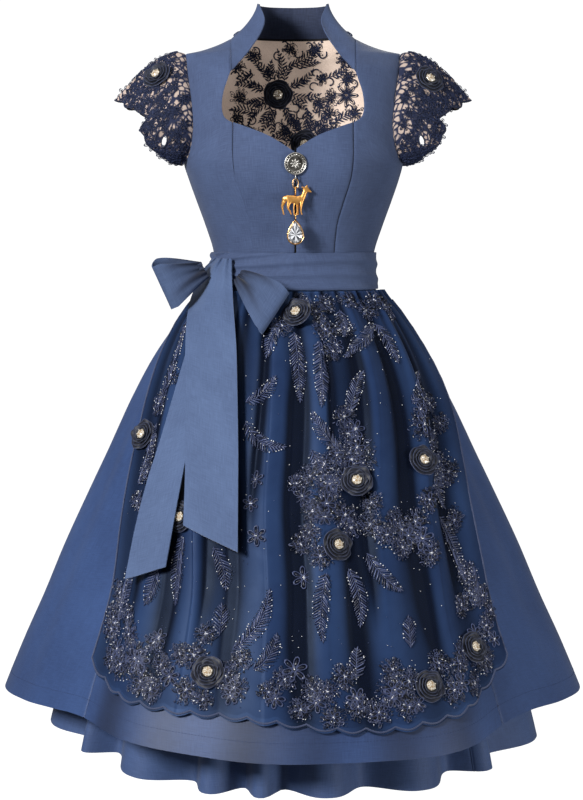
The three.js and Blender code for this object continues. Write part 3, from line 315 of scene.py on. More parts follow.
def keep_tints(mesh, tints):
    """Gives each corner a tint from 0 to 1, for the materials that read it; on many pieces it holds painted light and
    shade.
    """
    values = np.asarray(tints, np.float32).reshape(-1)
    mesh.attributes.new("tint", "FLOAT", "POINT").data.foreach_set("value", values)


def cloth(name, grid, material, thick=0.0, closed=False, out_from=None, cut=None, tints=None):
    """A sheet of cloth through a grid of points, its outer face there and its wall behind it.
    out_from is a point that the outer face looks away from, cut marks points inside a hole, and
    tints are kept as an attribute."""
    rows, columns = grid.shape[:2]
    middle = np.array(out_from if out_from is not None else (0, 0, grid[..., 2].mean()), float)
    if (grid_normals(grid) * (grid - middle)).sum() < 0:
        grid = grid[:, ::-1]
        cut = None if cut is None else cut[:, ::-1]
        tints = None if tints is None else tints[:, ::-1]
    ring = np.concatenate([grid, grid[:, :1]], axis=1) if closed else grid
    across, along = lengths(ring, 1), lengths(ring, 0)
    across = across - across[:, ring.shape[1] // 2][:, None]
    j, i = np.meshgrid(np.arange(rows - 1), np.arange(columns if closed else columns - 1), indexing="ij")
    nxt = (i + 1) % columns
    if cut is not None:
        kept = ~(cut[j, i] & cut[j, nxt] & cut[j + 1, i] & cut[j + 1, nxt])
        j, i, nxt = j[kept], i[kept], nxt[kept]
    row, next_row = j * columns, (j + 1) * columns
    mesh = bpy.data.meshes.new(name)
    faces = np.stack([row + i, row + nxt, next_row + nxt, next_row + i], -1).reshape(-1, 4)
    mesh.from_pydata((grid.reshape(-1, 3) * 1e-3).tolist(), [], faces.tolist())
    if tints is not None:
        keep_tints(mesh, tints)
    flat = [
        np.stack([far[j, i], far[j, i + 1], far[j + 1, i + 1], far[j + 1, i]], -1) * 1e-3 for far in (across, along)
    ]
    uv = np.stack(flat, -1).reshape(-1).astype(np.float32)
    mesh.uv_layers.new(name="flat").data.foreach_set("uv", uv)
    piece = add_piece(name, mesh, material)
    if cut is not None:
        rework(mesh, drop_loose)
    mesh.shade_smooth()
    if thick:
        add_wall(piece, thick, -1)
    with bpy.context.temp_override(object=piece, active_object=piece, selected_editable_objects=[piece]):
        bpy.ops.object.shade_smooth_by_angle(angle=np.radians(50))
    return piece


def drop_loose(edit):
    bmesh.ops.delete(edit, geom=[v for v in edit.verts if not v.link_faces], context="VERTS")


def add_wall(piece, thick, offset):
    wall = piece.modifiers.new("wall", "SOLIDIFY")
    wall.thickness = thick * 1e-3
    wall.offset = offset
    apply_modifiers(piece)


def apply_modifiers(piece):
    bpy.ops.object.select_all(action="DESELECT")
    bpy.context.view_layer.objects.active = piece
    piece.select_set(True)
    for modifier in list(piece.modifiers):
        bpy.ops.object.modifier_apply(modifier=modifier.name)
    piece.select_set(False)


def cut_of(grid):
    """The flat width, length and area of the cloth a grid is made of, in metres."""
    diagonal = np.cross(grid[1:, 1:] - grid[:-1, :-1], grid[1:, :-1] - grid[:-1, 1:])
    area = np.linalg.norm(diagonal, axis=-1).sum() / 2 * 1e-6
    width = lengths(grid, 1)[:, -1].max() * 1e-3
    length = lengths(grid, 0)[-1].max() * 1e-3
    return width, length, area


def hang(piece, grid, held, *nodes, rests_on=()):
    """Hides the solids that a sheet of cloth stands for, and hangs the sheet from the root."""
    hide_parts(*nodes)
    width, length, area = cut_of(grid)
    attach(piece, "root")


def seam_steps(count):
    """Shares from one seam to the next, closer together beside the seams."""
    return 0.5 - 0.5 * np.cos(np.pi * np.linspace(0, 1, count))


def dipped(grid, left=True, right=True, depth=1.5, reach=1.5, middle=None):
    """The cloth pressed down beside its seams."""
    far = lengths(grid, 1)
    from_left = far if left else far + 1e3
    from_right = far[:, -1:] - far if right else far * 0 + 1e3
    dip = depth * (np.exp(-from_left / reach) + np.exp(-from_right / reach))
    normal = grid_normals(grid)
    centre = np.array(middle if middle is not None else (0, 0, grid[..., 2].mean()), float)
    if (normal * (grid - centre)).sum() < 0:
        normal = -normal
    return grid - normal * dip[..., None]


LINEN_WALL = 1.3
GAP = 0.3
HALF_GAP = GAP / 2
WAIST_Z = -334
CENTRE_X = 3.6
OPENING_HALF = 1.4
COLLAR_SEAM_X = 94
COLLAR_SEAM_Z = 31
BODICE = table(
    "z half front back power",
    (-334, 121, 95, 88, 2.0),
    (-300, 124.5, 97, 90, 2.0),
    (-262, 136.5, 104, 94, 2.05),
    (-226, 149.5, 111, 100, 2.1),
    (-190, 162, 117, 105, 2.15),
    (-165, 168.5, 119, 107, 2.2),
    (-130, 167, 116, 108, 2.25),
    (-95, 167, 107, 107, 2.25),
    (-55, 167, 95, 104, 2.2),
    (-25, 167, 82, 98, 1.95),
    (-8, 166, 72, 93, 1.6),
    (0, 164, 67, 90, 1.4),
    (3, 148, 65, 89, 1.45),
    (8, 130, 62, 87, 1.5),
    (16, 109, 57, 84, 1.65),
    (25, 92, 52, 81, 1.85),
    (31, 86, 48, 78, 2.0),
)
MIDDLE = table(
    "z x", (-1060, -1), (-900, -1), (-600, -2), (-520, -3), (-450, -6), (-385, -4.5), (-334, 0), (-300, 1.5),
    (-200, 1.5), (-140, 0), (31, 0),
)
middle_x = track(MIDDLE, "z", "x")
half_at, front_at, back_at, power_at = (track(BODICE, "z", key) for key in ("half", "front", "back", "power"))
BUST_X, BUST_Z, BUST_RISE, BUST_SPREAD = 72, -188, 12, 38


def bust_rise(x, z):
    return sum(
        BUST_RISE * np.exp(-0.5 * ((x - side * BUST_X) ** 2 + (z - BUST_Z) ** 2) / BUST_SPREAD**2) for side in (-1, 1)
    )


def signed_power(value, power):
    return np.sign(value) * np.abs(value) ** power


def bodice_point(turn, z):
    s, c = np.sin(np.radians(turn)), np.cos(np.radians(turn))
    bend = 2 / power_at(z)
    x = half_at(z) * signed_power(s, bend) + middle_x(z)
    front = -front_at(z) * np.abs(c) ** bend - bust_rise(x, z) * np.minimum(1, 3 * np.abs(c))
    return points(x, np.where(c < 0, back_at(z) * np.abs(c) ** bend, front), z)


def bodice_depth(x, z, reach):
    share = np.clip(np.abs(x - middle_x(z)) / half_at(z), 0, 1)
    return reach(z) * (1 - share ** power_at(z)) ** (1 / power_at(z))


def front_y(x, z):
    return -bodice_depth(x, z, front_at) - bust_rise(x, z)


def turn_to(x, z):
    """The angle from the front, up to 90 degrees, at which the bodice is as far out as x."""
    share = np.clip((x - middle_x(z)) / half_at(z), -1, 1)
    return np.degrees(np.arcsin(signed_power(share, power_at(z) / 2)))


def outline(*corners):
    """A smooth line through corners in x and z that climbs all the way: x read by z, and z by x
    as far as its widest point."""
    corner = np.array(corners, float)
    t = np.linspace(0, len(corner) - 1, 40 * len(corner))
    i = np.minimum(t.astype(int), len(corner) - 2)
    w = (t - i)[:, None]
    p0, p1, p2 = corner[np.maximum(i - 1, 0)], corner[i], corner[i + 1]
    p3 = corner[np.minimum(i + 2, len(corner) - 1)]
    leave, arrive = (p2 - p0) / 2, (p3 - p1) / 2
    line = (2 * p1 - 2 * p2 + leave + arrive) * w**3 + (3 * p2 - 3 * p1 - 2 * leave - arrive) * w**2 + leave * w + p1
    if line[0, 1] > line[-1, 1]:
        line = line[::-1]
    widest = line[:, 0].argmax() + 1
    rising = line[:widest] if line[0, 0] < line[widest - 1, 0] else line
    return (lambda z: np.interp(z, line[:, 1], line[:, 0])), (lambda x: np.interp(x, rising[:, 0], rising[:, 1]))


neck_x, neck_z = outline(
    (0, -152), (18, -140), (41, -127), (72, -115), (98.5, -104), (106, -89), (104.5, -65), (97.5, -42), (94.15, -32)
)
armhole_x, _ = outline((164, 1), (160, -30), (154, -68), (150.5, -104), (152, -130), (158, -154), (168.5, -169))
front_seam, _ = outline(
    (91, -60), (90, -115), (90, -161), (86, -193), (75, -229), (66, -262), (62, -306), (60, -340)
)
back_seam, _ = outline((92, -120), (90, -170), (82, -210), (68, -262), (58, -306), (55, -340))
yoke_x, yoke_z = outline(
    (0, -186), (42, -182), (82, -171), (106, -150), (114, -110), (113, -60), (107, -20), (101, 6)
)


def crossing(first, second, low, high):
    z = np.arange(low, high, 0.1)
    return z[np.abs(first(z) - second(z)).argmin()]


FRONT_SEAM_TOP = crossing(front_seam, neck_x, -120, -100)  # where the princess seams end
BACK_SEAM_TOP = crossing(back_seam, yoke_x, -180, -150)
FRONT_TIP, BACK_TIP = 23.4, 19.6  # where the side panels run out on the shoulder
ARMHOLE_Z = -169  # the foot of the armhole


def centre_panel(side, inner):
    """A panel between the closing and a princess seam, that ends at the neckline."""
    across = seam_steps(44)[None, :]
    top = neck_z(mix(inner, front_seam(FRONT_SEAM_TOP) - HALF_GAP, across))
    z = mix(WAIST_Z, top, np.linspace(0, 1, 90)[:, None])
    x = side * mix(inner, front_seam(z) - HALF_GAP, across)
    return points(x, front_y(x, z), z)


def side_panel(side, inner, top, back):
    """A panel that runs up beside the armhole to the shoulder."""
    z = np.concatenate(
        [np.linspace(WAIST_Z, ARMHOLE_Z - 3, 48), np.linspace(ARMHOLE_Z, -96, 50), np.linspace(-93, top, 60)]
    )[:, None]
    outer = np.where(z < ARMHOLE_Z, 400, armhole_x(z))
    limit = 90 - np.degrees(HALF_GAP / half_at(z))
    first = turn_to(inner(z) + HALF_GAP, z)
    last = np.minimum(turn_to(outer, z), limit)
    turn = mix(first, np.maximum(last, first + 0.01), seam_steps(52)[None, :])
    turn = 180 - turn if back else turn
    grid = bodice_point(turn, z)
    if side < 0:
        middle = middle_x(grid[..., 2])
        grid[..., 0] = 2 * middle - grid[..., 0]
    return grid


def front_inner(z):
    return np.where(z < FRONT_SEAM_TOP, front_seam(z), neck_x(z))


def back_inner(z):
    return np.where(z < BACK_SEAM_TOP, back_seam(z), yoke_x(z))


def sew_panel(name, node, flat):
    piece = cloth(name, flat, BODICE_LINEN, LINEN_WALL)
    hang(piece, flat, "stretched", node)


SIDES = (("left", 1), ("right", -1))
for name, side in SIDES:
    panel = centre_panel(side, OPENING_HALF + side * CENTRE_X)
    sew_panel(f"bodice_centre_{name}", f"centre_front_{name}", dipped(panel))
    panel = side_panel(side, front_inner, FRONT_TIP, back=False)
    sew_panel(f"bodice_side_{name}", f"side_front_{name}", dipped(panel, right=False))
    panel = side_panel(side, back_inner, BACK_TIP, back=True)
    sew_panel(f"bodice_side_back_{name}", f"side_back_{name}", dipped(panel, right=False))
across = (seam_steps(70) * 2 - 1)[None, :]
z = mix(WAIST_Z, yoke_z(np.abs(across) * back_seam(BACK_SEAM_TOP)) - HALF_GAP, np.linspace(0, 1, 70)[:, None])
x = across * (back_seam(z) - HALF_GAP)
sew_panel("bodice_back", "back_centre", dipped(points(x, bodice_depth(x, z, back_at), z)))

# Painted shadow: a dark colour for strips set in the seam grooves, where shade falls.
SEAM_SHADE = finish("seam_groove_shadow", shade(18, 24, 42), 0.95)


def seam_shadow_strip(name, path):
    """A thin dark strip set just inside a seam: painted shadow in the groove between its panels."""
    away = unit(path * (1, 1, 0))
    across = unit(np.cross(np.gradient(path, axis=0), away)) * 0.55
    flat = np.stack([path - away - across, path - away * 0.55, path - away + across], axis=1)
    mesh = bpy.data.meshes.new(name)
    i = np.arange(len(path) - 1)[:, None] * 3 + np.arange(2)
    faces = np.stack([i, i + 1, i + 4, i + 3], -1).reshape(-1, 4)
    mesh.from_pydata((flat.reshape(-1, 3) * 1e-3).tolist(), [], faces.tolist())
    piece = add_piece(name, mesh, SEAM_SHADE)
    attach(piece, "root")


# Painted shadow in the princess seams of the front.
z = np.linspace(WAIST_Z + 1, FRONT_SEAM_TOP - 1, 90)
for name, side in SIDES:
    x = side * front_seam(z)
    seam_shadow_strip(f"princess_seam_shadow_{name}", points(x, front_y(x, z), z))

# The dark tape behind the centre-front closing, seen as a thin black line under the pendant.
TAPE_HALF = 9
tape_z = np.linspace(WAIST_Z, -162, 60)[:, None]
tape_x = np.linspace(CENTRE_X - TAPE_HALF, CENTRE_X + TAPE_HALF, 9)[None, :]
flat = points(tape_x, front_y(tape_x, tape_z) + 2.9, tape_z)
BLACK_TAPE = finish("black_tape", shade(9, 10, 16), 0.9, bump=weave, depth=0.3)
piece = cloth("closing_tape", flat, BLACK_TAPE, 0.8)
hang(piece, flat, "laid", "front_placket", rests_on=["bodice_centre_left"])

# ---------------------------------------------------------------- collar
# A standing collar cut in one with its two long front points. It is stiffened, and lined behind
# the neck with a dark facing.
COLLAR_TOP_Z = 76
COLLAR_EDGE = table(
    "share x y z",
    (0, 0, 66, COLLAR_TOP_Z),
    (0.2, 31, 59, COLLAR_TOP_Z),
    (0.38, 51, 36, COLLAR_TOP_Z),
    (0.5, 55, 12, COLLAR_TOP_Z),
    (0.57, 52.5, -4, 74.5),
    (0.66, 43.5, -19, 52),
    (0.74, 49, -31, 31),
    (0.84, 65.5, -44, 4),
    (0.93, 81.5, -57, -17),
    (1, 91.4, -68, -29),
)
COLLAR_HOLLOW = 6
FRONT_POINT_Z = -32
edge_x, edge_y, edge_z = (track(COLLAR_EDGE, "share", key) for key in "xyz")


def collar_seam(share):
    back = bodice_point(180 - 180 * np.minimum(share, 0.5), np.full_like(share, COLLAR_SEAM_Z))
    back[..., 2] = COLLAR_SEAM_Z + GAP
    down = np.maximum(share - 0.5, 0) * 2
    x = mix(half_at(COLLAR_SEAM_Z), COLLAR_SEAM_X - HALF_GAP, np.clip(down * 8, 0, 1))
    z = mix(COLLAR_SEAM_Z, FRONT_POINT_Z, down)
    front = points(x, front_y(np.minimum(x, half_at(z) * 0.9999), z), z)
    return np.where((share <= 0.5)[..., None], back, front)


def collar_grid(along, up, lift=0.0):
    along, up = np.meshgrid(along, up)
    share = np.abs(along)
    grid = mix(collar_seam(share), points(edge_x(share), edge_y(share), edge_z(share)), up[..., None])
    hollow = COLLAR_HOLLOW * 4 * up * (1 - up) * np.clip((1 - share) * 4, 0, 1)
    out = unit(grid - points(grid[..., 0] * 0, 12 + grid[..., 1] * 0, grid[..., 2]))
    grid = grid - out * hollow[..., None]
    grid[..., 0] = np.where(along < 0, -grid[..., 0], grid[..., 0])
    if lift:
        normal = grid_normals(grid)
        normal = normal * np.sign((normal * (grid - np.array((0, 12, 40)))).sum())
        grid = grid + normal * lift
    return grid


flat = collar_grid(np.linspace(-1, 1, 161), np.linspace(0, 1, 15))
piece = cloth("standing_collar", flat, BODICE_LINEN, 1.6, out_from=(0, 12, 40))
hang(piece, flat, "stretched", "collar")
# Painted shadow in the seams of the collar's front points.
for name, side in SIDES:
    seam_shadow_strip(f"collar_seam_{name}", collar_seam(np.linspace(0.53, 1, 60)) * (side, 1, 1))
NAVY_FACING = finish(
    "navy_facing",
    lambda places: slubs(places).ramp(0.3, 0.7).blend(shade(32, 40, 62), shade(52, 62, 90)),
    0.85,
    bump=weave,
    depth=0.3,
)
flat = collar_grid(np.linspace(-0.57, 0.57, 90), np.linspace(0, 1, 12), -2.4)
piece = cloth("collar_lining", flat, NAVY_FACING, 0.6, out_from=(0, 12, 40))
hang(piece, flat, "laid", "collar_facing", rests_on=["standing_collar"])

# ---------------------------------------------------------------- skirt
# Four gores of cotton sateen, seamed at the front and back corners, with soft folds that deepen
# towards the hem. The hem is turned up and stitched 26 mm above the edge.
SKIRT_HEM_Z = -988
UNDERSKIRT_HEM_Z = -1057
FLARE_Z = -640
SKIRT_WALL = 1.2
SKIRT = table(
    "z half depth",
    (-1060, 479, 0.91),
    (-988, 453, 0.92),
    (-905, 418.5, 0.91),
    (-834, 386, 0.9),
    (-751, 351, 0.89),
    (-657, 307, 0.88),
    (-607, 283, 0.87),
    (-570, 266, 0.865),
    (-524, 244, 0.86),
    (-474, 216, 0.85),
    (-429, 186.5, 0.84),
    (-392, 158.5, 0.82),
    (-358, 129.5, 0.79),
    (-334, 121, 0.785),
)
SKIRT_FOLDS = table(
    "turn rise", (0, 3), (15, 0), (30, 3), (46, -22), (56, -30), (70, -18), (91, 2), (116, -16), (137, 10),
    (159, -14), (180, 10),
)
SKIRT_HEM = table(
    "turn z", (-180, -985), (-110, -983), (-90, -980), (-75, -976), (-60, -970), (-45, -965), (-33, -976),
    (-20, -985), (-8, -992), (6, -993), (24, -993), (34, -988), (45, -974), (58, -971), (72, -976), (90, -981),
    (110, -983), (180, -985),
)
UNDERSKIRT_HEM = table(
    "turn z", (-180, -1046), (-120, -1030), (-90, -1021), (-68, -1026), (-50, -1036), (-35, -1050), (-15, -1059),
    (15, -1060), (32, -1060), (46, -1053), (65, -1046), (90, -1045), (180, -1046),
)
skirt_half, skirt_depth = track(SKIRT, "z", "half"), track(SKIRT, "z", "depth")
skirt_fold = track(SKIRT_FOLDS, "turn", "rise")
skirt_hem, underskirt_hem = track(SKIRT_HEM, "turn", "z"), track(UNDERSKIRT_HEM, "turn", "z")


def signed_turn(turn):
    return (turn + 180) % 360 - 180


def eased(z, flat_hem, hem):
    return z + (hem - flat_hem) * np.clip((FLARE_Z - z) / (FLARE_Z - flat_hem), 0, 1)


def skirt_ring(turn, z, out=0.0):
    half = skirt_half(z) + out
    depth = skirt_half(z) * skirt_depth(z) + out
    return points(middle_x(z) + half * np.sin(np.radians(turn)), -depth * np.cos(np.radians(turn)), z)


def fold_at(turn, z):
    fall = np.clip((WAIST_Z - z) / (WAIST_Z - SKIRT_HEM_Z), 0, 1.2)
    return skirt_fold(np.abs(signed_turn(turn))) * fall**1.2


# Creases of the hanging cloth, listed one by one: where each lies, how far down it starts and ends, how
# wide it is in degrees, and how far it stands out or sinks in.
SKIRT_CREASES = (
    (-101, 0.05, 0.8, 3.2, -2.6), (-84, 0.1, 1.0, 4.0, 2.4), (-73, 0.3, 1.1, 3.0, -2.2), (-66, 0.02, 0.6, 2.4, 1.6),
    (72, 0.05, 0.9, 3.0, -2.4), (81, 0.2, 1.1, 3.6, 2.2), (97, 0.04, 0.7, 3.0, -2.0), (108, 0.3, 1.0, 4.0, 2.0),
    (128, 0.03, 0.8, 3.4, -2.8), (149, 0.1, 1.1, 4.0, 2.4), (166, 0.05, 0.7, 3.0, -2.4), (184, 0.2, 1.0, 3.6, 2.2),
    (203, 0.03, 0.8, 3.2, -2.6), (221, 0.3, 1.1, 4.4, 2.0), (238, 0.04, 0.7, 3.0, -2.2), (52, 0.5, 1.1, 3.0, 2.0),
    (-54, 0.5, 1.1, 3.0, 2.0),
)


def crease(turn, z):
    down = np.clip((WAIST_Z - z) / (WAIST_Z - SKIRT_HEM_Z), 0, 1.1)
    total = 0
    for at, start, end, wide, rise in SKIRT_CREASES:
        away = signed_turn(turn - at) / wide
        life = np.clip((down - start) / 0.15, 0, 1) * np.clip((end - down) / 0.2, 0, 1)
        total = total + rise * life * np.exp(-0.5 * away**2)
    return total * np.clip(down * 3, 0, 1)


def skirt_point(turn, row, lift=0.0):
    z = eased(row, SKIRT_HEM_Z, skirt_hem(signed_turn(turn)))
    shown = np.clip((np.abs(signed_turn(turn)) - 47) / 8, 0, 1)
    return skirt_ring(turn, z, fold_at(turn, z) + crease(turn, z) * shown + lift)


# Where the tint is below 1 the sateen is painted darker, towards a shade colour: painted shade.
SKIRT_SATEEN = finish(
    "skirt_sateen",
    lambda places: tint(places, 0.0, 1.0).blend(
        shade(12, 18, 36),
        (slubs(places).ramp(0.38, 0.62) * 0.45 + mottle(places, 5.0).ramp(0.3, 0.7) * 0.55).blend(
            shade(41, 62, 105), shade(58, 84, 134)
        ),
    ),
    0.52,
    bump=lambda places: weave(places, 0.35) * 0.35 + slubs(places) * 0.4,
    depth=0.4,
    Sheen_Weight=0.12,
    Sheen_Roughness=0.35,
    Specular_IOR_Level=0.42,
)
GORES = (("front", -45, 45), ("left", 45, 135), ("back", 135, 225), ("right", 225, 315))
skirt_rows = np.concatenate([np.linspace(SKIRT_HEM_Z, -400, 64), np.linspace(-392, WAIST_Z - GAP, 14)])


def gore_grid(point, start, end, columns, rows):
    turn = mix(start, end, columns)[None, :]
    room = np.degrees(HALF_GAP / (0.75 * skirt_half(rows)))[:, None]
    return point(np.clip(turn, start + room, end - room), rows[:, None] + 0 * turn)


for name, start, end in GORES:
    flat = dipped(gore_grid(skirt_point, start, end, seam_steps(84), skirt_rows), reach=2.2)
    # The front gore is painted darker where it hangs below the apron, with darker streaks across it: the apron's
    # painted shadow and painted shade in the folds.
    turn = mix(start, end, seam_steps(84))[None, :]
    in_apron_shadow = np.clip((50 - np.abs(signed_turn(turn))) / 10, 0, 1)
    shaded = in_apron_shadow * (0.42 + 0.24 * np.sin(turn * 0.33 + 1) * np.sin(turn * 0.12))
    painted_light = 1 - shaded + 0 * skirt_rows[:, None]
    piece = cloth(f"skirt_{name}_gore", flat, SKIRT_SATEEN, SKIRT_WALL, tints=painted_light)
    hang(piece, flat, "hung", f"skirt_{name}", rests_on=["waist_sash"])

# ---------------------------------------------------------------- underskirt
# Four gores of the same cloth, cut fuller, so that the hem stands in round flutes below the skirt.
FIRST_FLUTE = -97
FRONT_FLUTES = (38, 10, 24.5, 13, 9.5, 19, 24, 14, 42)
BACK_FLUTES = (17, 15, 18, 14, 17, 18, 15, 17, 16, 19)
FLUTE_RISE = 23
UNDERSKIRT_IN = table(
    "z share", (-1057, 0.765), (-834, 0.8), (-607, 0.86), (-430, 0.92), (-358, 0.955), (-334, 0.965)
)
underskirt_in = track(UNDERSKIRT_IN, "z", "share")
flutes = np.array(FRONT_FLUTES + BACK_FLUTES, float)
flute_edges = FIRST_FLUTE + np.concatenate([[0], np.cumsum(flutes)]) * 360 / flutes.sum()


def underskirt_point(turn, row, lift=0.0):
    z = eased(row, UNDERSKIRT_HEM_Z, underskirt_hem(signed_turn(turn)))
    half = skirt_half(z) * underskirt_in(z)
    depth = half * skirt_depth(z)
    fall = np.clip((WAIST_Z - z) / (WAIST_Z - UNDERSKIRT_HEM_Z), 0, 1) ** 1.3
    around = (turn - FIRST_FLUTE) % 360 + FIRST_FLUTE
    i = np.clip(np.searchsorted(flute_edges, around, side="right") - 1, 0, len(flutes) - 1)
    share = (around - flute_edges[i]) / (flute_edges[i + 1] - flute_edges[i])
    wave = 1 - 2 * np.abs(np.cos(np.pi * share)) ** 2.6
    out = FLUTE_RISE * fall * wave + lift
    x = middle_x(z) + (half + out) * np.sin(np.radians(turn))
    return points(x, -(depth + out) * np.cos(np.radians(turn)), z)


UNDERSKIRT_LINEN = linen("underskirt_linen", (50, 70, 112), (70, 94, 140), roughness=0.7)
underskirt_rows = np.concatenate([np.linspace(UNDERSKIRT_HEM_Z, -860, 26), np.linspace(-840, WAIST_Z - GAP, 16)])
for name, start, end in GORES:
    flat = dipped(gore_grid(underskirt_point, start, end, seam_steps(132), underskirt_rows), reach=2.2)
    piece = cloth(f"underskirt_{name}_gore", flat, UNDERSKIRT_LINEN, SKIRT_WALL)
    hang(piece, flat, "hung", f"underskirt_{name}", rests_on=["waist_sash"])

# ---------------------------------------------------------------- apron
# Dark blue satin, gathered into the waistband. It hangs in large round folds with a few sharp
# ones, and its hem is cut in scallops. Fine tulle in the same colour lies loose over it.
SASH_BOTTOM_Z = -358
APRON_CLOTH = 1.3
APRON_REACH = table(
    "z right left", (-956, 45.4, 50.5), (-845, 45.5, 50), (-767, 46.5, 51.5), (-664, 53, 57), (-596, 58, 64),
    (-526, 62.5, 71), (-446, 69, 80), (-358, 82, 87),
)
APRON_HEM = table(
    "turn z", (-46, -880), (-41, -903), (-34, -921), (-25, -929), (-7, -936), (3, -945), (15, -953), (25, -948),
    (34, -938), (41, -917), (47, -893), (51, -882),
)
APRON_CRESTS = table(
    "at depth", (-0.03, 8), (0.11, 9), (0.25, 12), (0.42, 14), (0.555, 12), (0.69, 11), (0.84, 10), (0.98, 8)
)
SCALLOPS, SCALLOP_DEPTH = 18, 6
GATHERS, GATHER_RISE = 19, 5
reach_right, reach_left = track(APRON_REACH, "z", "right"), track(APRON_REACH, "z", "left")
apron_hem = track(APRON_HEM, "turn", "z")
# Sharp folds of the satin: where each lies at the waist and at its end, how far down it starts and
# ends, its width, and how deep it sinks. Its left flank is the steeper one.
APRON_CREASES = (
    (0.475, 0.492, 0.16, 1.02, 0.020, 7.5), (0.40, 0.375, 0.02, 0.62, 0.018, 5.5), (0.56, 0.575, 0.05, 0.5, 0.016, 6),
    (0.64, 0.668, 0.02, 0.8, 0.018, 6.5), (0.735, 0.80, 0.02, 0.95, 0.018, 6.5), (0.30, 0.262, 0.05, 0.9, 0.020, 5.5),
    (0.19, 0.175, 0.2, 1.0, 0.020, 5), (0.86, 0.90, 0.05, 0.8, 0.016, 4.5), (0.345, 0.33, 0.45, 1.02, 0.016, 4),
    (0.60, 0.615, 0.55, 1.02, 0.017, 4.5), (0.09, 0.08, 0.1, 0.9, 0.018, 4),
)


def apron_fold(u, down):
    at, depth = APRON_CRESTS["at"], APRON_CRESTS["depth"]
    i = np.clip(np.searchsorted(at, u, side="right") - 1, 0, len(at) - 2)
    share = np.clip((u - at[i]) / (at[i + 1] - at[i]), 0, 1)
    deep = depth[i] * (0.35 + 0.65 * np.sin(np.pi * np.minimum(1, 0.25 + down * 0.75)))
    fade = np.exp(-down / 0.16)
    gathers = 0.5 + 0.5 * np.cos(2 * np.pi * GATHERS * u) + 0.3 * fade * np.cos(2 * np.pi * 31 * u + 9 * down)
    total = 1 + deep * (0.5 + 0.5 * np.cos(2 * np.pi * share)) * (1 - 0.55 * fade) + GATHER_RISE * fade * gathers
    for top, low, start, end, wide, sink in APRON_CREASES:
        away = (u - mix(top, low, down)) / wide
        life = np.clip((down - start) / 0.12, 0, 1) * np.clip((end - down) / 0.2, 0, 1)
        flank = np.where(away < 0, np.exp(-np.abs(away * 2.2) ** 1.3), np.exp(-np.abs(away) ** 1.5))
        total = total - sink * life * flank
    return np.maximum(total, 0.2)


def apron_point(u, down, lift=0.0):
    u, down = np.broadcast_arrays(np.asarray(u, float), np.asarray(down, float))
    scallop = SCALLOP_DEPTH * np.abs(np.sin(np.pi * SCALLOPS * u))
    z = mix(SASH_BOTTOM_Z - 1.8, apron_hem(mix(-45.4, 50.5, u)) - scallop * np.clip(down, 0, 1) ** 6, down)
    turn = mix(-reach_right(z), reach_left(z), u)
    return skirt_ring(turn, z, np.maximum(fold_at(turn, z), -8) + 1.2 + APRON_CLOTH + apron_fold(u, down) + lift)


def fold_light(u, down):
    """Painted light on the satin: 0 in the valleys of the folds and in the shade beside each sharp fold, 1 on their
    crests.
    """
    fold = apron_fold(u, down)
    light = 0.62 + (fold - sum(apron_fold(u + step, down) for step in np.linspace(-0.05, 0.05, 11)) / 11) / 8
    for top, low, start, end, wide, sink in APRON_CREASES:
        away = (u - mix(top, low, down) - 0.3 * wide) / (wide * 1.3)
        life = np.clip((down - start) / 0.12, 0, 1) * np.clip((end - down) / 0.2, 0, 1)
        light = light - sink / 9 * life * np.exp(-(away**2))
    return np.clip(light, 0, 1)


# The satin's tint paints its light and shade: the colour goes nearly black in the valleys of the folds and beside the
# sharp ones.
APRON_SATIN = finish(
    "apron_satin",
    lambda places: tint(places, 0.0, 1.0).blend(
        shade(3, 6, 16), mottle(places, 6.0).ramp(0.3, 0.7).blend(shade(33, 51, 87), shade(48, 71, 112))
    ),
    lambda places: mottle(places, 30.0).ramp(0.2, 0.8) * 0.08 + 0.44,
    bump=lambda places: places["uv"].node(
        "TexNoise", None, stretched(places["uv"], 1400, 90), Scale=1.0, Detail=2.0
    ),
    depth=0.06,
    Specular_IOR_Level=0.25,
    Specular_Tint=(0.45, 0.62, 1.0, 1),
    Sheen_Weight=0.1,
    Sheen_Tint=(0.4, 0.55, 1.0, 1),
)
apron_across = np.linspace(0, 1, 289)
apron_down = np.concatenate([np.linspace(1, 0.94, 9), np.linspace(0.925, 0.3, 42), np.linspace(0.285, 0, 30)])
flat = apron_point(apron_across[None, :], apron_down[:, None])
painted_light = fold_light(apron_across[None, :], apron_down[:, None])
piece = cloth("apron_satin", flat, APRON_SATIN, 0.9, tints=painted_light)
hang(piece, flat, "gathered", "apron", rests_on=["skirt_front_gore", "waist_sash"])


def tulle_point(u, down):
    """The tulle stands off the satin in folds of its own."""
    own = 0.5 + 0.5 * np.cos(2 * np.pi * (u * 9.5 + 0.35 * np.sin(3.1 * down + 1)))
    loose = np.clip(down * 4, 0, 1) * np.clip((1 - down) * 8, 0, 1)
    return apron_point(u, down, 0.9 + 2.6 * own**3 * loose)


TULLE = finish(
    "tulle",
    shade(20, 28, 58),
    1.0,
    Alpha=lambda places: mottle(places, 12.0).ramp(0.3, 0.7) * 0.08 + 0.08,
    Specular_IOR_Level=0.0,
)
flat = tulle_point(np.linspace(0.004, 0.996, 200)[None, :], np.linspace(0.985, 0.004, 70)[:, None])
piece = cloth("apron_tulle", flat, TULLE)
cut_of(flat)[:2]
cut_of(flat)[2]
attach(piece, "root")

# ---------------------------------------------------------------- sash
# A folded band of the bodice linen round the waist. Its pleats gather towards the knot at the
# wearer's right and open out on the other side.
SASH_TOP_Z = -303
SASH = table(
    "z half front back", (-358, 135, 107.5, 107), (-345, 130.5, 104, 103), (-330, 128, 102, 100), (-303, 127, 101.5, 95)
)
sash_half, sash_front, sash_back = (track(SASH, "z", key) for key in ("half", "front", "back"))
KNOT_TURN = -68


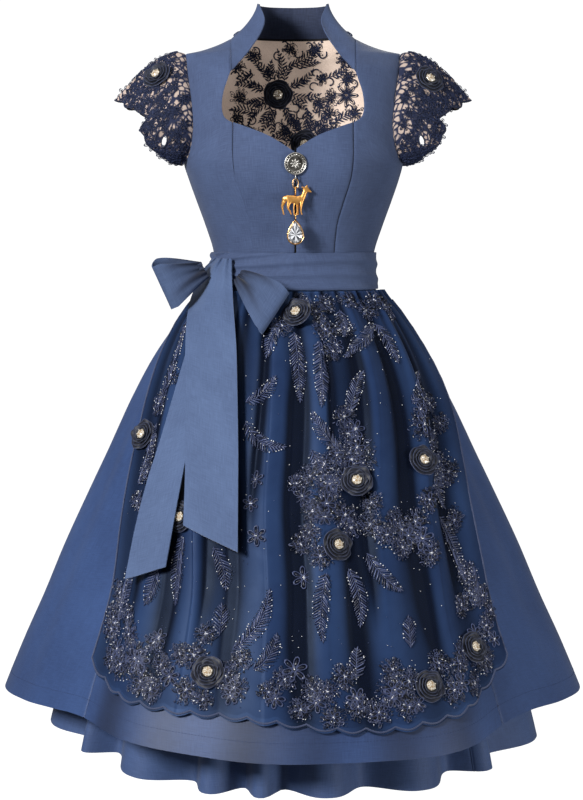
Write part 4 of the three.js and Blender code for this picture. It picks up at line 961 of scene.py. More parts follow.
def sash_point(turn, share, lift=0.0):
    z = mix(SASH_BOTTOM_Z, SASH_TOP_Z, share)
    away = np.abs(signed_turn(turn - KNOT_TURN))
    near = np.exp(-away / 34)
    middle = 0.5 + 0.08 * np.sin(np.radians(turn * 2))
    spread = (share - middle) * (1 + 1.4 * near)
    pleats = 0.5 + 0.5 * np.cos(2 * np.pi * (2.5 * spread + away / 260))
    swell = 0.3 + (2.2 + 1.5 * near) * pleats**1.6 - 1.6 * (np.abs(share - 0.5) * 2) ** 10
    s, c = np.sin(np.radians(turn)), np.cos(np.radians(turn))
    depth = np.where(c > 0, sash_front(z), sash_back(z)) + swell + lift
    sag = 1.6 * np.sin(np.radians(turn * 1.5 + 20)) * (share - 0.5)
    return points(middle_x(z) + (sash_half(z) + swell + lift) * s, -depth * c, z + sag)


# The bow is tied from the sash's band, but its linen is painted lighter than the bodice linen of the sash: painted
# light on the bow.
LIGHTER_BOW_LINEN = linen("bow_linen_painted_lighter", (64, 82, 118), (88, 109, 148), sheen=0.3)
# The loops' linen is also painted lighter than the sash, and their tint paints shade into them, darker towards the knot
# and in their pleats.
SHADED_LOOP_LINEN = linen("loop_linen_painted_shade", (58, 75, 109), (82, 102, 140), sheen=0.15, deep=(17, 25, 46))
ring_turns = np.linspace(0, 360, 241)[:-1]
flat = sash_point(ring_turns[None, :], np.linspace(0, 1, 34)[:, None])
piece = cloth("waist_sash", flat, BODICE_LINEN, 2.2, closed=True)
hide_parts("sash")
ring_width = lengths(np.concatenate([flat, flat[:, :1]], axis=1), 1)[:, -1].max() * 1e-3
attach(piece, "root")

# ---------------------------------------------------------------- bow
# Tied from the same band: a knot, two tails with slanting ends that lie over the apron, and two
# loops that stand open. Every piece is folded double.
BOW_CLOTH = 1.6
FRONT_TAIL = table(
    "z left right out", (-717, -155, -76, 29), (-640, -153.5, -76.5, 26), (-577, -154, -77, 21), (-446, -158, -81, 20),
    (-400, -158, -85, 20), (-370, -154, -88, 19), (-345, -144, -90, 17.5), (-327, -135, -91, 16), (-311, -117, -92, 14),
)
BACK_TAIL = table(
    "z left right out", (-765, -240, -184, 23), (-690, -226, -171, 23), (-633, -212, -161, 21), (-577, -195, -150, 15),
    (-446, -158, -112, 14), (-400, -148, -106, 14), (-364, -134, -104, 14),
)


def box_middle(name):
    low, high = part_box(name)
    return (np.array(low) + np.array(high)) * 500


def seated(grid, name):
    """Moves a grid so that its middle lies where the solid's middle lies."""
    flat_grid = grid.reshape(-1, 3)
    return grid + box_middle(name) - (flat_grid.min(0) + flat_grid.max(0)) / 2


def tail_grid(rows, slant, folds):
    left, right, out = (track(rows, "z", key) for key in ("left", "right", "out"))
    u, v = np.meshgrid(np.linspace(0, 1, 34), np.linspace(0, 1, 110))
    bottom, top = rows["z"][0], rows["z"][-1]
    z = mix(bottom + max(slant, 0) * (1 - u) - min(slant, 0) * u, top, v)
    x = mix(left(z), right(z), u)
    near_knot = np.clip((v - 0.55) / 0.45, 0, 1)
    pleats = folds * near_knot**2 * np.cos(2 * np.pi * (2.5 * u + 0.15))
    stand = out(z) + pleats + 1.3 * np.sin(2 * np.pi * (u * 0.9 + v * 0.8))
    wide, deep = skirt_half(z) + stand, skirt_half(z) * skirt_depth(z) + stand
    y = -deep * np.sqrt(np.maximum(0.02, 1 - ((x - middle_x(z)) / wide) ** 2))
    return points(x, y, z)


for name, rows, slant, folds in (("back", BACK_TAIL, -22, 1.5), ("front", FRONT_TAIL, 32, 2.2)):
    flat = seated(tail_grid(rows, slant, folds), f"bow_tail_{name}")
    piece = cloth(f"bow_{name}_tail", flat, LIGHTER_BOW_LINEN, BOW_CLOTH)
    hang(piece, flat, "hung", f"bow_tail_{name}", rests_on=["bow_tie_knot", "apron_satin"])


def loop_grid(root, reach, edge, width, belly, root_width, raised, fullness):
    root, reach, across = (np.array(v, float) for v in (root, reach, edge))
    along = reach - root
    length = np.linalg.norm(along)
    along, across = along / length, across / np.linalg.norm(across)
    apart = unit(np.cross(along, across))
    apart = -apart if apart[1] > 0 else apart
    u, v = np.meshgrid(np.linspace(0, 1, 72), np.linspace(0, 1, 26))
    angle = np.pi * u
    out = np.sin(angle)
    half = mix(root_width, width, np.minimum(1, out * 1.15) ** fullness) / 2
    pleat = 4 * np.sin(2 * np.pi * v) + 2.4 * np.sin(6 * np.pi * v) * (1 - out) ** 0.5
    stand = belly * np.sin(2 * angle) * 0.5 + (1.6 + pleat * (1 - out) ** 0.8) * np.cos(angle)
    grid = root + along * (length * out)[..., None] + apart * stand[..., None]
    grid = grid + across * (half * (2 * v - 1))[..., None]
    grid[..., 2] += np.where(u > 0.5, raised * v * np.abs(np.sin(2 * angle)), 0)
    # The tints are painted shade: darker towards the knot and in the pleats.
    in_pleat = np.cos(np.pi * (1.6 * v + 0.5 * out + 0.2)) ** 8 * (1 - out) ** 0.6
    return grid, np.clip(0.2 + 0.75 * out**0.7 - 0.45 * in_pleat, 0, 1)


for name, shape in (
    ("right", ((-133, -60, -329), (-197.5, -80, -355.5), (-29, 0, 63), 70, 26, 26, 12, 1.2)),
    ("left", ((-85, -86, -338), (-29, -152, -389), (40, 30, 60), 76, 24, 22, 0, 0.85)),
):
    flat, painted_light = loop_grid(*shape)
    flat = seated(flat, f"bow_loop_{name}")
    piece = cloth(f"bow_{name}_loop", flat, SHADED_LOOP_LINEN, BOW_CLOTH, tints=painted_light)
    hang(piece, flat, "folded", f"bow_loop_{name}", rests_on=["bow_tie_knot"])

bpy.ops.object.select_all(action="DESELECT")
bpy.ops.mesh.primitive_uv_sphere_add(segments=64, ring_count=40, radius=1)
piece = bpy.context.object
piece.name = "bow_tie_knot"
low, high = (np.array(v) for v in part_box("bow_knot"))
ball = np.array([v.co for v in piece.data.vertices])
turned = np.arctan2(ball[:, 0], -ball[:, 1])
pinch = 1 - 0.1 * np.abs(ball[:, 2]) ** 2 + 0.07 * np.cos(9 * turned + 2.5 * ball[:, 2]) * (1 - ball[:, 2] ** 2)
ball *= pinch[:, None]
facing = np.arctan2(-0.85, 0.52)
ball = ball * np.array((17, 4.4, 15.5)) * 1e-3
turn_it = np.array(((np.cos(facing), -np.sin(facing), 0), (np.sin(facing), np.cos(facing), 0), (0, 0, 1)))
ball = ball @ turn_it.T + (low + high) / 2
piece.data.vertices.foreach_set("co", ball.reshape(-1))
piece.data.shade_smooth()
piece.data.materials.append(LIGHTER_BOW_LINEN)
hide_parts("bow_knot")
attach(piece, "root")

# ---------------------------------------------------------------- embroidery
# Glass bugles, seed beads and small leaves of padded thread, sewn through the tulle in fern fronds,
# flowers and sprays that thicken towards the hem and the waist. A share of the beads is painted near
# white: painted glints, which also stand for the bright sequins.


def prism(sides, *rings):
    """Rings of corners round the x axis, each (x, radius). A ring of radius 0 is a point."""
    corners, faces, last = [], [], None
    for x, radius in rings:
        start = len(corners)
        if radius == 0:
            corners.append((x, 0, 0))
            here = [start] * sides
        else:
            angles = np.arange(sides) * 2 * np.pi / sides + np.pi / sides
            corners += [(x, radius * np.cos(a), radius * np.sin(a)) for a in angles]
            here = list(range(start, start + sides))
        if last is not None:
            for i in range(sides):
                k = (i + 1) % sides
                ring = [last[i], here[i], here[k], last[k]]
                face = [c for n, c in enumerate(ring) if c not in ring[:n]]
                faces += [face] if len(face) == 3 else [face[:3], [face[0], *face[2:]]]
        last = here
    return np.array(corners, float), np.array(faces)


def hoop(count):
    """The corded outline of a petal from 0 to 1 along x."""
    a = np.arange(count) * 2 * np.pi / count
    middle = np.stack([0.5 - 0.5 * np.cos(a), np.sin(a) * (0.5 - 0.12 * np.cos(a)), a * 0], -1)
    away = unit(np.stack([-np.cos(a), np.sin(a), a * 0], -1))
    corners = np.concatenate([middle - away * 0.09, middle + (0, 0, 0.5), middle + away * 0.09])
    i = np.arange(count)
    faces = []
    for low, high in ((0, count), (count, 2 * count), (2 * count, 0)):
        a, b, c, d = low + i, low + (i + 1) % count, high + (i + 1) % count, high + i
        faces += [np.stack([a, c, b], -1), np.stack([a, d, c], -1)]
    return corners, np.concatenate(faces)


STAMPS = {
    "bugle": prism(4, (-0.5, 0), (-0.4, 0.5), (0.4, 0.5), (0.5, 0)),
    "bead": prism(4, (-0.5, 0), (0, 0.5), (0.5, 0)),
    "leaf": prism(4, (0, 0), (0.3, 0.42), (0.65, 0.36), (1, 0)),
    "petal": hoop(10),
}


class Needle:
    """Lays small stamps on a curved ground. Places are the ground's own two coordinates, and
    headings are angles on the cloth, from the first coordinate's way to the second's."""

    def __init__(self, ground, seed, reach=0.02, glint=1.0, e=1e-3):
        self.ground, self.work, self.reach, self.glint, self.e = ground, [], reach, glint, e
        self.dice = np.random.default_rng(seed)

    def scale(self, u, v):
        e = self.reach
        return (
            np.linalg.norm(self.ground(u + e, v) - self.ground(u - e, v), axis=-1) / (2 * e),
            np.linalg.norm(self.ground(u, v + e) - self.ground(u, v - e), axis=-1) / (2 * e),
        )

    def step(self, u, v, heading, far):
        gu, gv = self.scale(u, v)
        return u + far * np.cos(heading) / gu, v + far * np.sin(heading) / gv

    def lay(self, kind, u, v, heading, length, width, tint=0.0, high=None):
        """Notes down stamps of one kind: where, which way, how large, how high and in which tint."""
        stamp = (u, v, heading, length, width, width if high is None else high, tint)
        given = np.broadcast_arrays(*(np.atleast_1d(np.asarray(a, float)) for a in stamp))
        self.work.append((kind, np.stack([a.ravel() for a in given])))

    def painted_glints(self, size, share=0.12):
        """Tints for beads: mostly dark, of several shades, and a share at 1, painted near white as glints."""
        shades = self.dice.uniform(0.0, 0.36, size)
        return np.where(self.dice.random(size) < share * self.glint, 1.0, shades)

    def frond(self, root, tip, bend=0.0, barb=17.0, gap=4.1, leafy=False):
        """A spine of bugles with barbs that slant forwards on both sides, like herringbone."""
        root, tip = np.array(root, float), np.array(tip, float)
        gu, gv = self.scale(*((root + tip) / 2))
        way = (tip - root) * (gu, gv)
        length = np.hypot(*way)
        count = max(6, int(length / gap))
        t = (np.arange(count) + 0.5) / count
        aside = np.array((-way[1], way[0])) / length
        path = way[None] * t[:, None] + aside * (bend * length * 4 * t * (1 - t))[:, None]
        u, v = root[0] + path[:, 0] / gu, root[1] + path[:, 1] / gv
        heading = np.arctan2(np.gradient(path[:, 1]), np.gradient(path[:, 0]))
        self.lay("bugle", u, v, heading, gap * 1.05, 1.5, 0.35)
        reach = barb * (0.5 + 0.5 * np.sin(np.pi * np.clip(0.1 + 0.95 * t, 0, 1))) * (1 - 0.5 * t**3)
        for side in (-1, 1):
            lean = heading + side * np.radians(46) + self.dice.normal(0, 0.05, count)
            if leafy:
                self.lay("leaf", u, v, lean, reach, 4.3, 0.2, 1.4)
                continue
            bu, bv = self.step(u, v, lean, reach * 0.46)
            self.lay("bugle", bu, bv, lean, reach * 0.84, 2.0, self.dice.uniform(0.1, 0.45, count), 1.5)
            bu, bv = self.step(u, v, lean, reach * 0.95)
            self.lay("bead", bu, bv, lean, 2.2, 2.2, self.painted_glints(count, 0.3))
            bu, bv = self.step(u, v, heading + side * 1.4, 2.2)
            self.lay("bead", bu, bv, lean, 1.5, 1.5, self.painted_glints(count, 0.18), 2.2)
        self.lay("leaf", u[-1], v[-1], heading[-1], 8, 3.2, 0.3, 1.4)

    def curl(self, u, v, radius, start, sweep):
        """A tendril: an arc of cord about a point, that draws in and ends in a bud."""
        count = max(5, int(abs(sweep) * radius / 2.6))
        angle = start + sweep * (np.arange(count) + 0.5) / count
        cu, cv = self.step(u, v, angle, radius * np.linspace(1, 0.6, count))
        self.lay("bugle", cu, cv, angle + np.sign(sweep) * np.pi / 2, 3.6, 2.6, 0.2, 1.5)
        self.lay("bead", cu[-1], cv[-1], 0, 3.6, 3.6, 0.3, 1.8)

    def flower(self, u, v, radius, petals=6, tint=0.25):
        turn = self.dice.uniform(0, 6.28)
        for k in range(petals):
            heading = turn + k * 2 * np.pi / petals
            pu, pv = self.step(u, v, heading, radius * 0.16)
            wide = radius * 0.84 * min(0.75, 2.9 / petals)
            self.lay("petal", pu, pv, heading, radius * 0.84, wide, tint + 0.1, 2.0)
            self.lay("leaf", pu, pv, heading, radius * 0.78, wide * 0.9, tint * 0.3, 0.9)
        ring = np.arange(6) * np.pi / 3
        bu, bv = self.step(u, v, ring, 2.1)
        self.lay("bead", bu, bv, ring, 1.9, 1.9, self.painted_glints(6, 0.3), 2.6)
        # The middle bead is painted near white where the needle paints glints.
        self.lay("bead", u, v, 0, 2.6, 2.6, self.glint, 3.4)

    def spray(self, u, v, radius, density=1.0):
        """A small flower with leaves, bugles and beads that burst round it."""
        ground = self.dice.uniform(0, 6.28) + np.arange(9) * 0.7
        bu, bv = self.step(u, v, ground, radius * 0.2)
        self.lay("leaf", bu, bv, ground, radius * self.dice.uniform(0.45, 0.85, 9), radius * 0.36, 0.0, 0.5)
        self.flower(u, v, radius * 0.58, petals=5)
        count = int(17 * density * (radius / 14))
        heading = np.arange(count) * 2.4 + self.dice.uniform(0, 6.28)
        far = radius * self.dice.uniform(0.5, 1.0, count)
        lu, lv = self.step(u, v, heading, far * 0.75)
        lean, size = heading + self.dice.normal(0, 0.5, count), self.dice.uniform(5, 9, count)
        self.lay("petal", lu, lv, lean, size, 3.6, self.dice.uniform(0.05, 0.4, count), 1.6)
        for kind, number, size, share in (("bugle", 22, 4.2, 0.0), ("bead", 46, 1.9, 0.2)):
            count = int(number * density * (radius / 14) ** 1.4)
            heading = self.dice.uniform(0, 2 * np.pi, count)
            far = radius * np.sqrt(self.dice.uniform(0.1, 1.25, count))
            bu, bv = self.step(u, v, heading, far)
            lean = heading + self.dice.normal(0, 0.5, count)
            self.lay(kind, bu, bv, lean, size, 1.5 if kind == "bugle" else 1.9, self.painted_glints(count, share))

    def made(self, name, material, slot, keep=None):
        """One piece of all the stamps laid so far, or of those in places that keep allows."""
        corners, faces, tints, start = [], [], [], 0
        for kind, given in self.work:
            u, v, heading, length, width, high, tint = given
            if keep is not None:
                inside = keep(u, v)
                u, v, heading, length, width, high, tint = given[:, inside]
            if not len(u):
                continue
            e = self.e
            place = self.ground(u, v)
            across = unit(self.ground(u + e, v) - self.ground(u - e, v))
            along = self.ground(u, v + e) - self.ground(u, v - e)
            out = unit(np.cross(along, across))
            along = np.cross(across, out) * np.sign((np.cross(across, out) * along).sum(-1, keepdims=True))
            way = across * np.cos(heading)[:, None] + along * np.sin(heading)[:, None]
            side = np.cross(out, way)
            shape, sides = STAMPS[kind]
            made = (
                place[:, None]
                + way[:, None] * (shape[None, :, 0] * length[:, None])[..., None]
                + side[:, None] * (shape[None, :, 1] * width[:, None])[..., None]
                + out[:, None] * ((shape[None, :, 2] + 0.3) * high[:, None])[..., None]
            )
            corners.append(made.reshape(-1, 3))
            faces.append((sides[None] + start + (np.arange(len(u)) * len(shape))[:, None, None]).reshape(-1, 3))
            tints.append(np.repeat(tint, len(shape)))
            start += made.shape[0] * made.shape[1]
        corners, faces, tints = np.concatenate(corners) * 1e-3, np.concatenate(faces), np.concatenate(tints)
        mesh = bpy.data.meshes.new(name)
        mesh.vertices.add(len(corners))
        mesh.vertices.foreach_set("co", corners.astype(np.float32).reshape(-1))
        mesh.loops.add(faces.size)
        mesh.loops.foreach_set("vertex_index", faces.astype(np.int32).reshape(-1))
        mesh.polygons.add(len(faces))
        mesh.polygons.foreach_set("loop_start", np.arange(0, faces.size, 3, dtype=np.int32))
        mesh.update(calc_edges=True)
        keep_tints(mesh, tints)
        piece = add_piece(name, mesh, material)
        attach(piece, "root")
        return piece


# Tints up to 0.45 run from dark to light, the beads' own shades; tints from 0.5 to 0.9 run to bright, which paints the
# glints of the beads.
def glassy(name, dark, light, bright, roughness, **fixed):
    return finish(
        name,
        lambda places: tint(places, 0.5, 0.9).blend(
            tint(places, 0.0, 0.45).blend(shade(*dark), shade(*light)), shade(*bright)
        ),
        roughness,
        **fixed,
    )


# Beads whose tint is above 0.5 are painted near white: painted glints.
BEADS = glassy("navy_beads", (6, 9, 22), (84, 94, 132), (250, 251, 254), 0.32, Specular_IOR_Level=0.55)
needle = Needle(lambda u, v: apron_point(u, v, 1.2), 11)
FRONDS = (
    (0.483, 0.100, 0.490, 0.263, 0.0), (0.548, 0.120, 0.541, 0.270, 0.0), (0.441, 0.088, 0.405, 0.159, 0.1),
    (0.644, 0.046, 0.634, 0.104, 0.0), (0.771, 0.084, 0.624, 0.157, 0.05), (0.771, 0.084, 0.796, 0.177, -0.05),
    (0.93, 0.02, 0.868, 0.079, 0.0), (0.352, 0.274, 0.425, 0.211, 0.12), (0.357, 0.319, 0.456, 0.375, 0.18),
    (0.616, 0.294, 0.660, 0.198, -0.05), (0.594, 0.384, 0.521, 0.294, -0.06), (0.809, 0.283, 0.888, 0.219, 0.0),
    (0.552, 0.656, 0.540, 0.804, 0.06), (0.606, 0.648, 0.626, 0.771, -0.08), (0.653, 0.614, 0.723, 0.703, 0.08),
    (0.880, 0.576, 0.926, 0.754, -0.05), (0.220, 0.602, 0.207, 0.759, 0.06), (0.294, 0.621, 0.322, 0.714, -0.08),
    (0.148, 0.690, 0.130, 0.774, 0.0), (0.318, 0.820, 0.316, 0.755, 0.0), (0.350, 0.850, 0.424, 0.710, 0.12),
    (0.398, 0.888, 0.443, 0.809, 0.1), (0.730, 0.833, 0.737, 0.768, 0.0), (0.605, 0.889, 0.613, 0.826, 0.0),
    (0.519, 0.379, 0.566, 0.455, 0.0), (0.07, 0.30, 0.10, 0.10, 0.05), (0.045, 0.52, 0.075, 0.36, 0.05),
    (0.88, 0.44, 0.90, 0.56, 0.0), (0.05, 0.86, 0.06, 0.70, -0.05), (0.95, 0.84, 0.955, 0.73, 0.0),
)
for u0, v0, u1, v1, bend in FRONDS:
    needle.frond((u0, v0), (u1, v1), bend)
SPRAYS = (
    (0.575, 0.093, 20), (0.582, 0.146, 15), (0.633, 0.373, 22), (0.566, 0.455, 22), (0.836, 0.336, 26),
    (0.932, 0.487, 22), (0.105, 0.097, 14), (0.106, 0.221, 16), (0.070, 0.303, 18), (0.077, 0.476, 18),
    (0.764, 0.588, 24), (0.817, 0.636, 20), (0.034, 0.887, 20), (0.133, 0.900, 26), (0.986, 0.867, 14),
    (0.606, 0.526, 20), (0.666, 0.549, 18), (0.726, 0.545, 18), (0.832, 0.516, 20), (0.929, 0.607, 18),
    (0.388, 0.047, 14), (0.514, 0.021, 12), (0.691, 0.022, 16), (0.824, 0.025, 16), (0.097, 0.932, 22),
    (0.915, 0.926, 24), (0.809, 0.941, 22), (0.677, 0.913, 24), (0.264, 0.945, 20), (0.187, 0.957, 20),
    (0.515, 0.914, 18), (0.542, 0.915, 16), (0.60, 0.30, 18), (0.62, 0.40, 20), (0.86, 0.28, 20), (0.56, 0.50, 24),
    (0.60, 0.03, 18), (0.56, 0.05, 18), (0.64, 0.09, 14), (0.76, 0.05, 18), (0.88, 0.04, 18), (0.45, 0.085, 16),
    (0.07, 0.40, 16), (0.05, 0.56, 14), (0.70, 0.95, 18), (0.36, 0.93, 20), (0.43, 0.93, 16), (0.90, 0.30, 16),
    (0.93, 0.36, 16), (0.60, 0.945, 18), (0.86, 0.88, 18), (0.94, 0.80, 18), (0.08, 0.83, 16), (0.24, 0.87, 16),
    (0.50, 0.60, 14), (0.49, 0.46, 12), (0.54, 0.62, 18), (0.88, 0.50, 18), (0.17, 0.86, 14), (0.30, 0.96, 14),
)
HEM_SPRAYS = (
    (0.03, 0.80, 16), (0.03, 0.86, 18), (0.06, 0.94, 18), (0.10, 0.86, 18), (0.16, 0.95, 20), (0.20, 0.90, 16),
    (0.27, 0.87, 20), (0.34, 0.91, 20), (0.37, 0.87, 16), (0.29, 0.82, 15), (0.46, 0.90, 16), (0.49, 0.96, 16),
    (0.55, 0.97, 18), (0.58, 0.88, 18), (0.64, 0.955, 20), (0.68, 0.87, 16), (0.71, 0.90, 18), (0.79, 0.88, 18),
    (0.84, 0.90, 18), (0.87, 0.96, 16), (0.93, 0.95, 18), (0.96, 0.89, 16), (0.97, 0.82, 16), (0.93, 0.74, 15),
    (0.90, 0.80, 16), (0.60, 0.44, 20), (0.52, 0.44, 18), (0.58, 0.39, 20), (0.55, 0.41, 16), (0.61, 0.34, 16),
    (0.65, 0.41, 16), (0.53, 0.52, 18), (0.62, 0.555, 16), (0.70, 0.575, 18), (0.74, 0.61, 18), (0.79, 0.56, 20),
    (0.52, 0.57, 16), (0.88, 0.39, 18), (0.90, 0.45, 16), (0.67, 0.50, 16),
)
for u0, v0, radius in SPRAYS + HEM_SPRAYS:
    needle.spray(u0, v0, radius)
STREWN = 420  # loose beads between the motifs
u, v = needle.dice.uniform(0.02, 0.98, STREWN), needle.dice.uniform(0.02, 0.97, STREWN) ** 0.8
# About half of the loose beads are painted near white: painted glints.
needle.lay("bead", u, v, 0.0, 1.5, 1.5, needle.painted_glints(STREWN, 0.5))
FLOWERS = (
    (0.395, 0.457, 13), (0.354, 0.948, 13), (0.480, 0.876, 18), (0.600, 0.928, 16), (0.507, 0.489, 15),
    (0.500, 0.674, 16), (0.386, 0.514, 12), (0.400, 0.587, 15), (0.442, 0.946, 14), (0.566, 0.455, 15),
    (0.180, 0.845, 13), (0.145, 0.905, 18), (0.225, 0.925, 15), (0.07, 0.91, 15), (0.80, 0.60, 18), (0.67, 0.93, 15),
    (0.92, 0.88, 14), (0.97, 0.93, 12), (0.83, 0.94, 15), (0.87, 0.36, 16), (0.83, 0.30, 12), (0.63, 0.33, 14),
    (0.60, 0.13, 12), (0.745, 0.57, 14), (0.91, 0.49, 13), (0.52, 0.94, 14), (0.72, 0.955, 12), (0.555, 0.53, 13),
)
for u0, v0, radius in FLOWERS:
    needle.flower(u0, v0, radius)
SEAT_RADIUS = 19  # no beads lie closer to the middle of a rosette
ROSETTE_SEATS = (
    (0.506, 0.062), (0.635, 0.454), (0.82, 0.423), (0.581, 0.594), (0.216, 0.56), (0.03, 0.4), (0.303, 0.903),
    (0.754, 0.92), (0.899, 0.902),
)


def clear_of_seats(u, v):
    free = (u > 0.004) & (u < 0.996) & (v > 0.004) & (v < 0.988)
    gu, gv = needle.scale(np.clip(u, 0.01, 0.99), np.clip(v, 0.01, 0.98))
    for su, sv in ROSETTE_SEATS:
        free &= np.hypot((u - su) * gu, (v - sv) * gv) > SEAT_RADIUS
    return free


BEADS_SPLIT = 0.56  # the beadwork is made in two pieces that meet this far down
needle.made("apron_beads_upper", BEADS, "navy_lace", lambda u, v: clear_of_seats(u, v) & (v < BEADS_SPLIT))
needle.made("apron_beads_lower", BEADS, "navy_lace", lambda u, v: clear_of_seats(u, v) & (v >= BEADS_SPLIT))


def turn_faces_out(edit):
    bmesh.ops.recalc_face_normals(edit, faces=edit.faces)


def cord(name, path, normals, radius, material, sides=6, closed=False, twist=0.0):
    """A round cord along a path of points."""
    path = np.array(path, float)
    way = unit(np.roll(path, -1, 0) - np.roll(path, 1, 0)) if closed else unit(np.gradient(path, axis=0))
    up = unit(normals - way * (normals * way).sum(-1, keepdims=True))
    side = np.cross(way, up)
    angle = np.arange(sides) * 2 * np.pi / sides
    ring = up[:, None] * np.cos(angle)[None, :, None] + side[:, None] * np.sin(angle)[None, :, None]
    swell = 1 + twist * np.sin(np.arange(len(path)) * 2.1)
    grid = path[:, None] + ring * (radius * swell)[:, None, None]
    count = len(path)
    j, i = np.meshgrid(np.arange(count if closed else count - 1), np.arange(sides), indexing="ij")
    k, n = (i + 1) % sides, (j + 1) % count
    faces = np.stack([j * sides + i, j * sides + k, n * sides + k, n * sides + i], -1).reshape(-1, 4).tolist()
    if not closed:
        faces += [list(range(sides))[::-1], list(range((count - 1) * sides, count * sides))]
    mesh = bpy.data.meshes.new(name)
    mesh.from_pydata((grid.reshape(-1, 3) * 1e-3).tolist(), [], faces)
    mesh.shade_smooth()
    rework(mesh, turn_faces_out)
    piece = add_piece(name, mesh, material)
    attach(piece, "root")
    return piece


def outward(grid_function, u, v):
    e = 1e-3
    return unit(
        np.cross(grid_function(u, v + e) - grid_function(u, v - e), grid_function(u + e, v) - grid_function(u - e, v))
    )


EDGE_CORD = finish("scallop_cord", shade(48, 60, 94), 0.6, Sheen_Weight=0.3)
edge_u = np.concatenate([np.full(60, 0.001), np.linspace(0.001, 0.999, 620), np.full(60, 0.999)])
edge_v = np.concatenate([np.linspace(0.03, 0.992, 60), np.full(620, 0.995), np.linspace(0.992, 0.03, 60)])
cord(
    "apron_scallop_cord", apron_point(edge_u, edge_v, 0.3), outward(apron_point, edge_u, edge_v), 1.35, EDGE_CORD,
    twist=0.16,
)

# ---------------------------------------------------------------- yoke
# Skin-coloured net closes the back above the bodice, with corded leaves and tendrils of dark lace
# sewn to both of its sides. A narrow black tape covers its seam to the collar.
# The net is given a skin-coloured glow: painted light that brightens the back of the yoke where the bodice shades it.
NUDE_NET = finish(
    "nude_net",
    lambda places: cells(places, 620.0).ramp(0.1, 0.5).blend(shade(216, 192, 174), shade(236, 214, 197)),
    0.85,
    bump=lambda places: cells(places, 620.0),
    depth=0.2,
    Emission_Color=shade(228, 202, 184),
    Emission_Strength=0.2,
)
across = (seam_steps(110) * 2 - 1)[None, :]
z = mix(yoke_z(np.abs(across) * 106) + HALF_GAP, 30, np.linspace(0, 1, 96)[:, None])
x = across * np.minimum(np.where(z < -150, 106, yoke_x(z)) - HALF_GAP, half_at(z) * 0.9985)
flat = points(x, np.maximum(bodice_depth(x, z, back_at), HALF_GAP), z)
piece = cloth("yoke_net", flat, NUDE_NET, 0.8)
hang(piece, flat, "stretched", "back_yoke")
LACE_CORD = glassy("lace_cord", (18, 27, 54), (36, 48, 84), (60, 74, 116), 0.7)
YOKE_FRONDS = (
    (-9.5, 10.9, 46.3, -26.6, 0.1), (22.4, 76.7, 17.6, 115.8, -0.1), (33.6, 61, 65.5, 100, 0.1),
    (65.5, 100, 100, 86, -0.1), (-25.4, 81.4, -47.7, 111, 0.1), (-57.3, 89.2, -98, 79, 0.12),
    (-49, 1.5, -80, -12, -0.1), (-60, 25, -88, 38, 0.15), (12, 14, 40, 6, -0.15), (-40, 60, -70, 66, -0.1),
    (54, 28, 88, 8, 0.12), (0, 128, -34, 146, 0.1), (40, 128, 66, 140, -0.1),
)
# A burst of fronds round each rosette: the middle, the first and last angle, how many, and how far
# from the middle they start and end.
YOKE_BURSTS = ((-24, 54, 0, 6.28, 16, 22, 66), (19, 133, -2.9, -0.25, 8, 22, 52))
YOKE_SPRAYS = (
    (-86, 14, 12), (-88, 92, 12), (34, -12, 12), (-4, -14, 12), (80, 4, 12), (98, 84, 12), (66, 112, 13), (58, 84, 11),
    (84, 34, 10), (-40, 20, 9), (46, 30, 10), (-60, 118, 12), (-14, 112, 11), (40, 66, 9),
)
YOKE_BLOOMS = (
    (-24, 54, 24), (19, 133, 20), (60, 60, 12), (-84, 60, 13), (-62, -4, 10), (48, 112, 12), (88, 28, 10),
)


def ray(angle, far, x, z):
    return np.array((np.cos(angle), np.sin(angle))) * far + (x, z)


def lace_shows(u, v):
    """Inside the edges of the yoke, with a margin."""
    x, z = np.abs(u), -v
    return (x < yoke_x(z) - 3) & (z > yoke_z(x) + 3) & (z < 27) & (x < half_at(z) * 0.96)


for name, way, room in (("inner", 1, 1.5), ("outer", -1, -0.2)):

    def on_yoke(u, v):
        x = np.clip(u * way, -112, 112)
        return points(x, bodice_depth(x, -v, back_at) - room, -v)

    needle = Needle(on_yoke, 23, reach=1.0, glint=0.0, e=0.5)
    for x0, z0, x1, z1, bend in YOKE_FRONDS:
        needle.frond((x0 * way, z0), (x1 * way, z1), bend * way, barb=13, gap=5.2, leafy=True)
    for x0, z0, first, last, count, near, far in YOKE_BURSTS:
        for k in range(count):
            a = first + (last - first) * k / count + 0.1 * (k % 3)
            end = far * (1 - 0.22 * (k % 2))
            root, tip, bud = ray(a, near, x0, z0), ray(a, end, x0, z0), ray(a + 0.2, end + 6, x0, z0)
            bend = 0.14 * way * (-1) ** k
            needle.frond(root * (way, 1), tip * (way, 1), bend, barb=12, gap=5.2, leafy=True)
            needle.curl(bud[0] * way, bud[1], 7.5, a, 4.2 * (-1) ** k)
    for x0, z0, radius in YOKE_SPRAYS:
        needle.spray(x0 * way, z0, radius, 0.6)
        needle.curl(x0 * way + 12, z0 + 6, 8, radius, 4.0)
        needle.curl(x0 * way - 10, z0 - 8, 7, radius + 2, -3.6)
    needle.flower(84.6 * way, 56.3, 19, petals=8, tint=0.2)
    needle.flower(-78 * way, 112, 12, petals=6, tint=0.2)
    for x0, z0, radius in YOKE_BLOOMS:
        needle.spray(x0 * way, z0, radius, 0.7)
    needle.made(f"yoke_lace_{name}", LACE_CORD, "navy_lace", lace_shows)
tape = np.linspace(-66, 66, 61)[None, :]
tape_rows = np.linspace(26.4, 37.4, 6)[:, None]
flat = points(
    tape, bodice_depth(tape, np.full_like(tape, 27.0), back_at) - 2.4 - 0.3 * np.maximum(tape_rows - 28, 0), tape_rows
)
piece = cloth("neck_tape", flat, BLACK_TAPE, 0.5)
cut_of(flat)[:2]
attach(piece, "root")

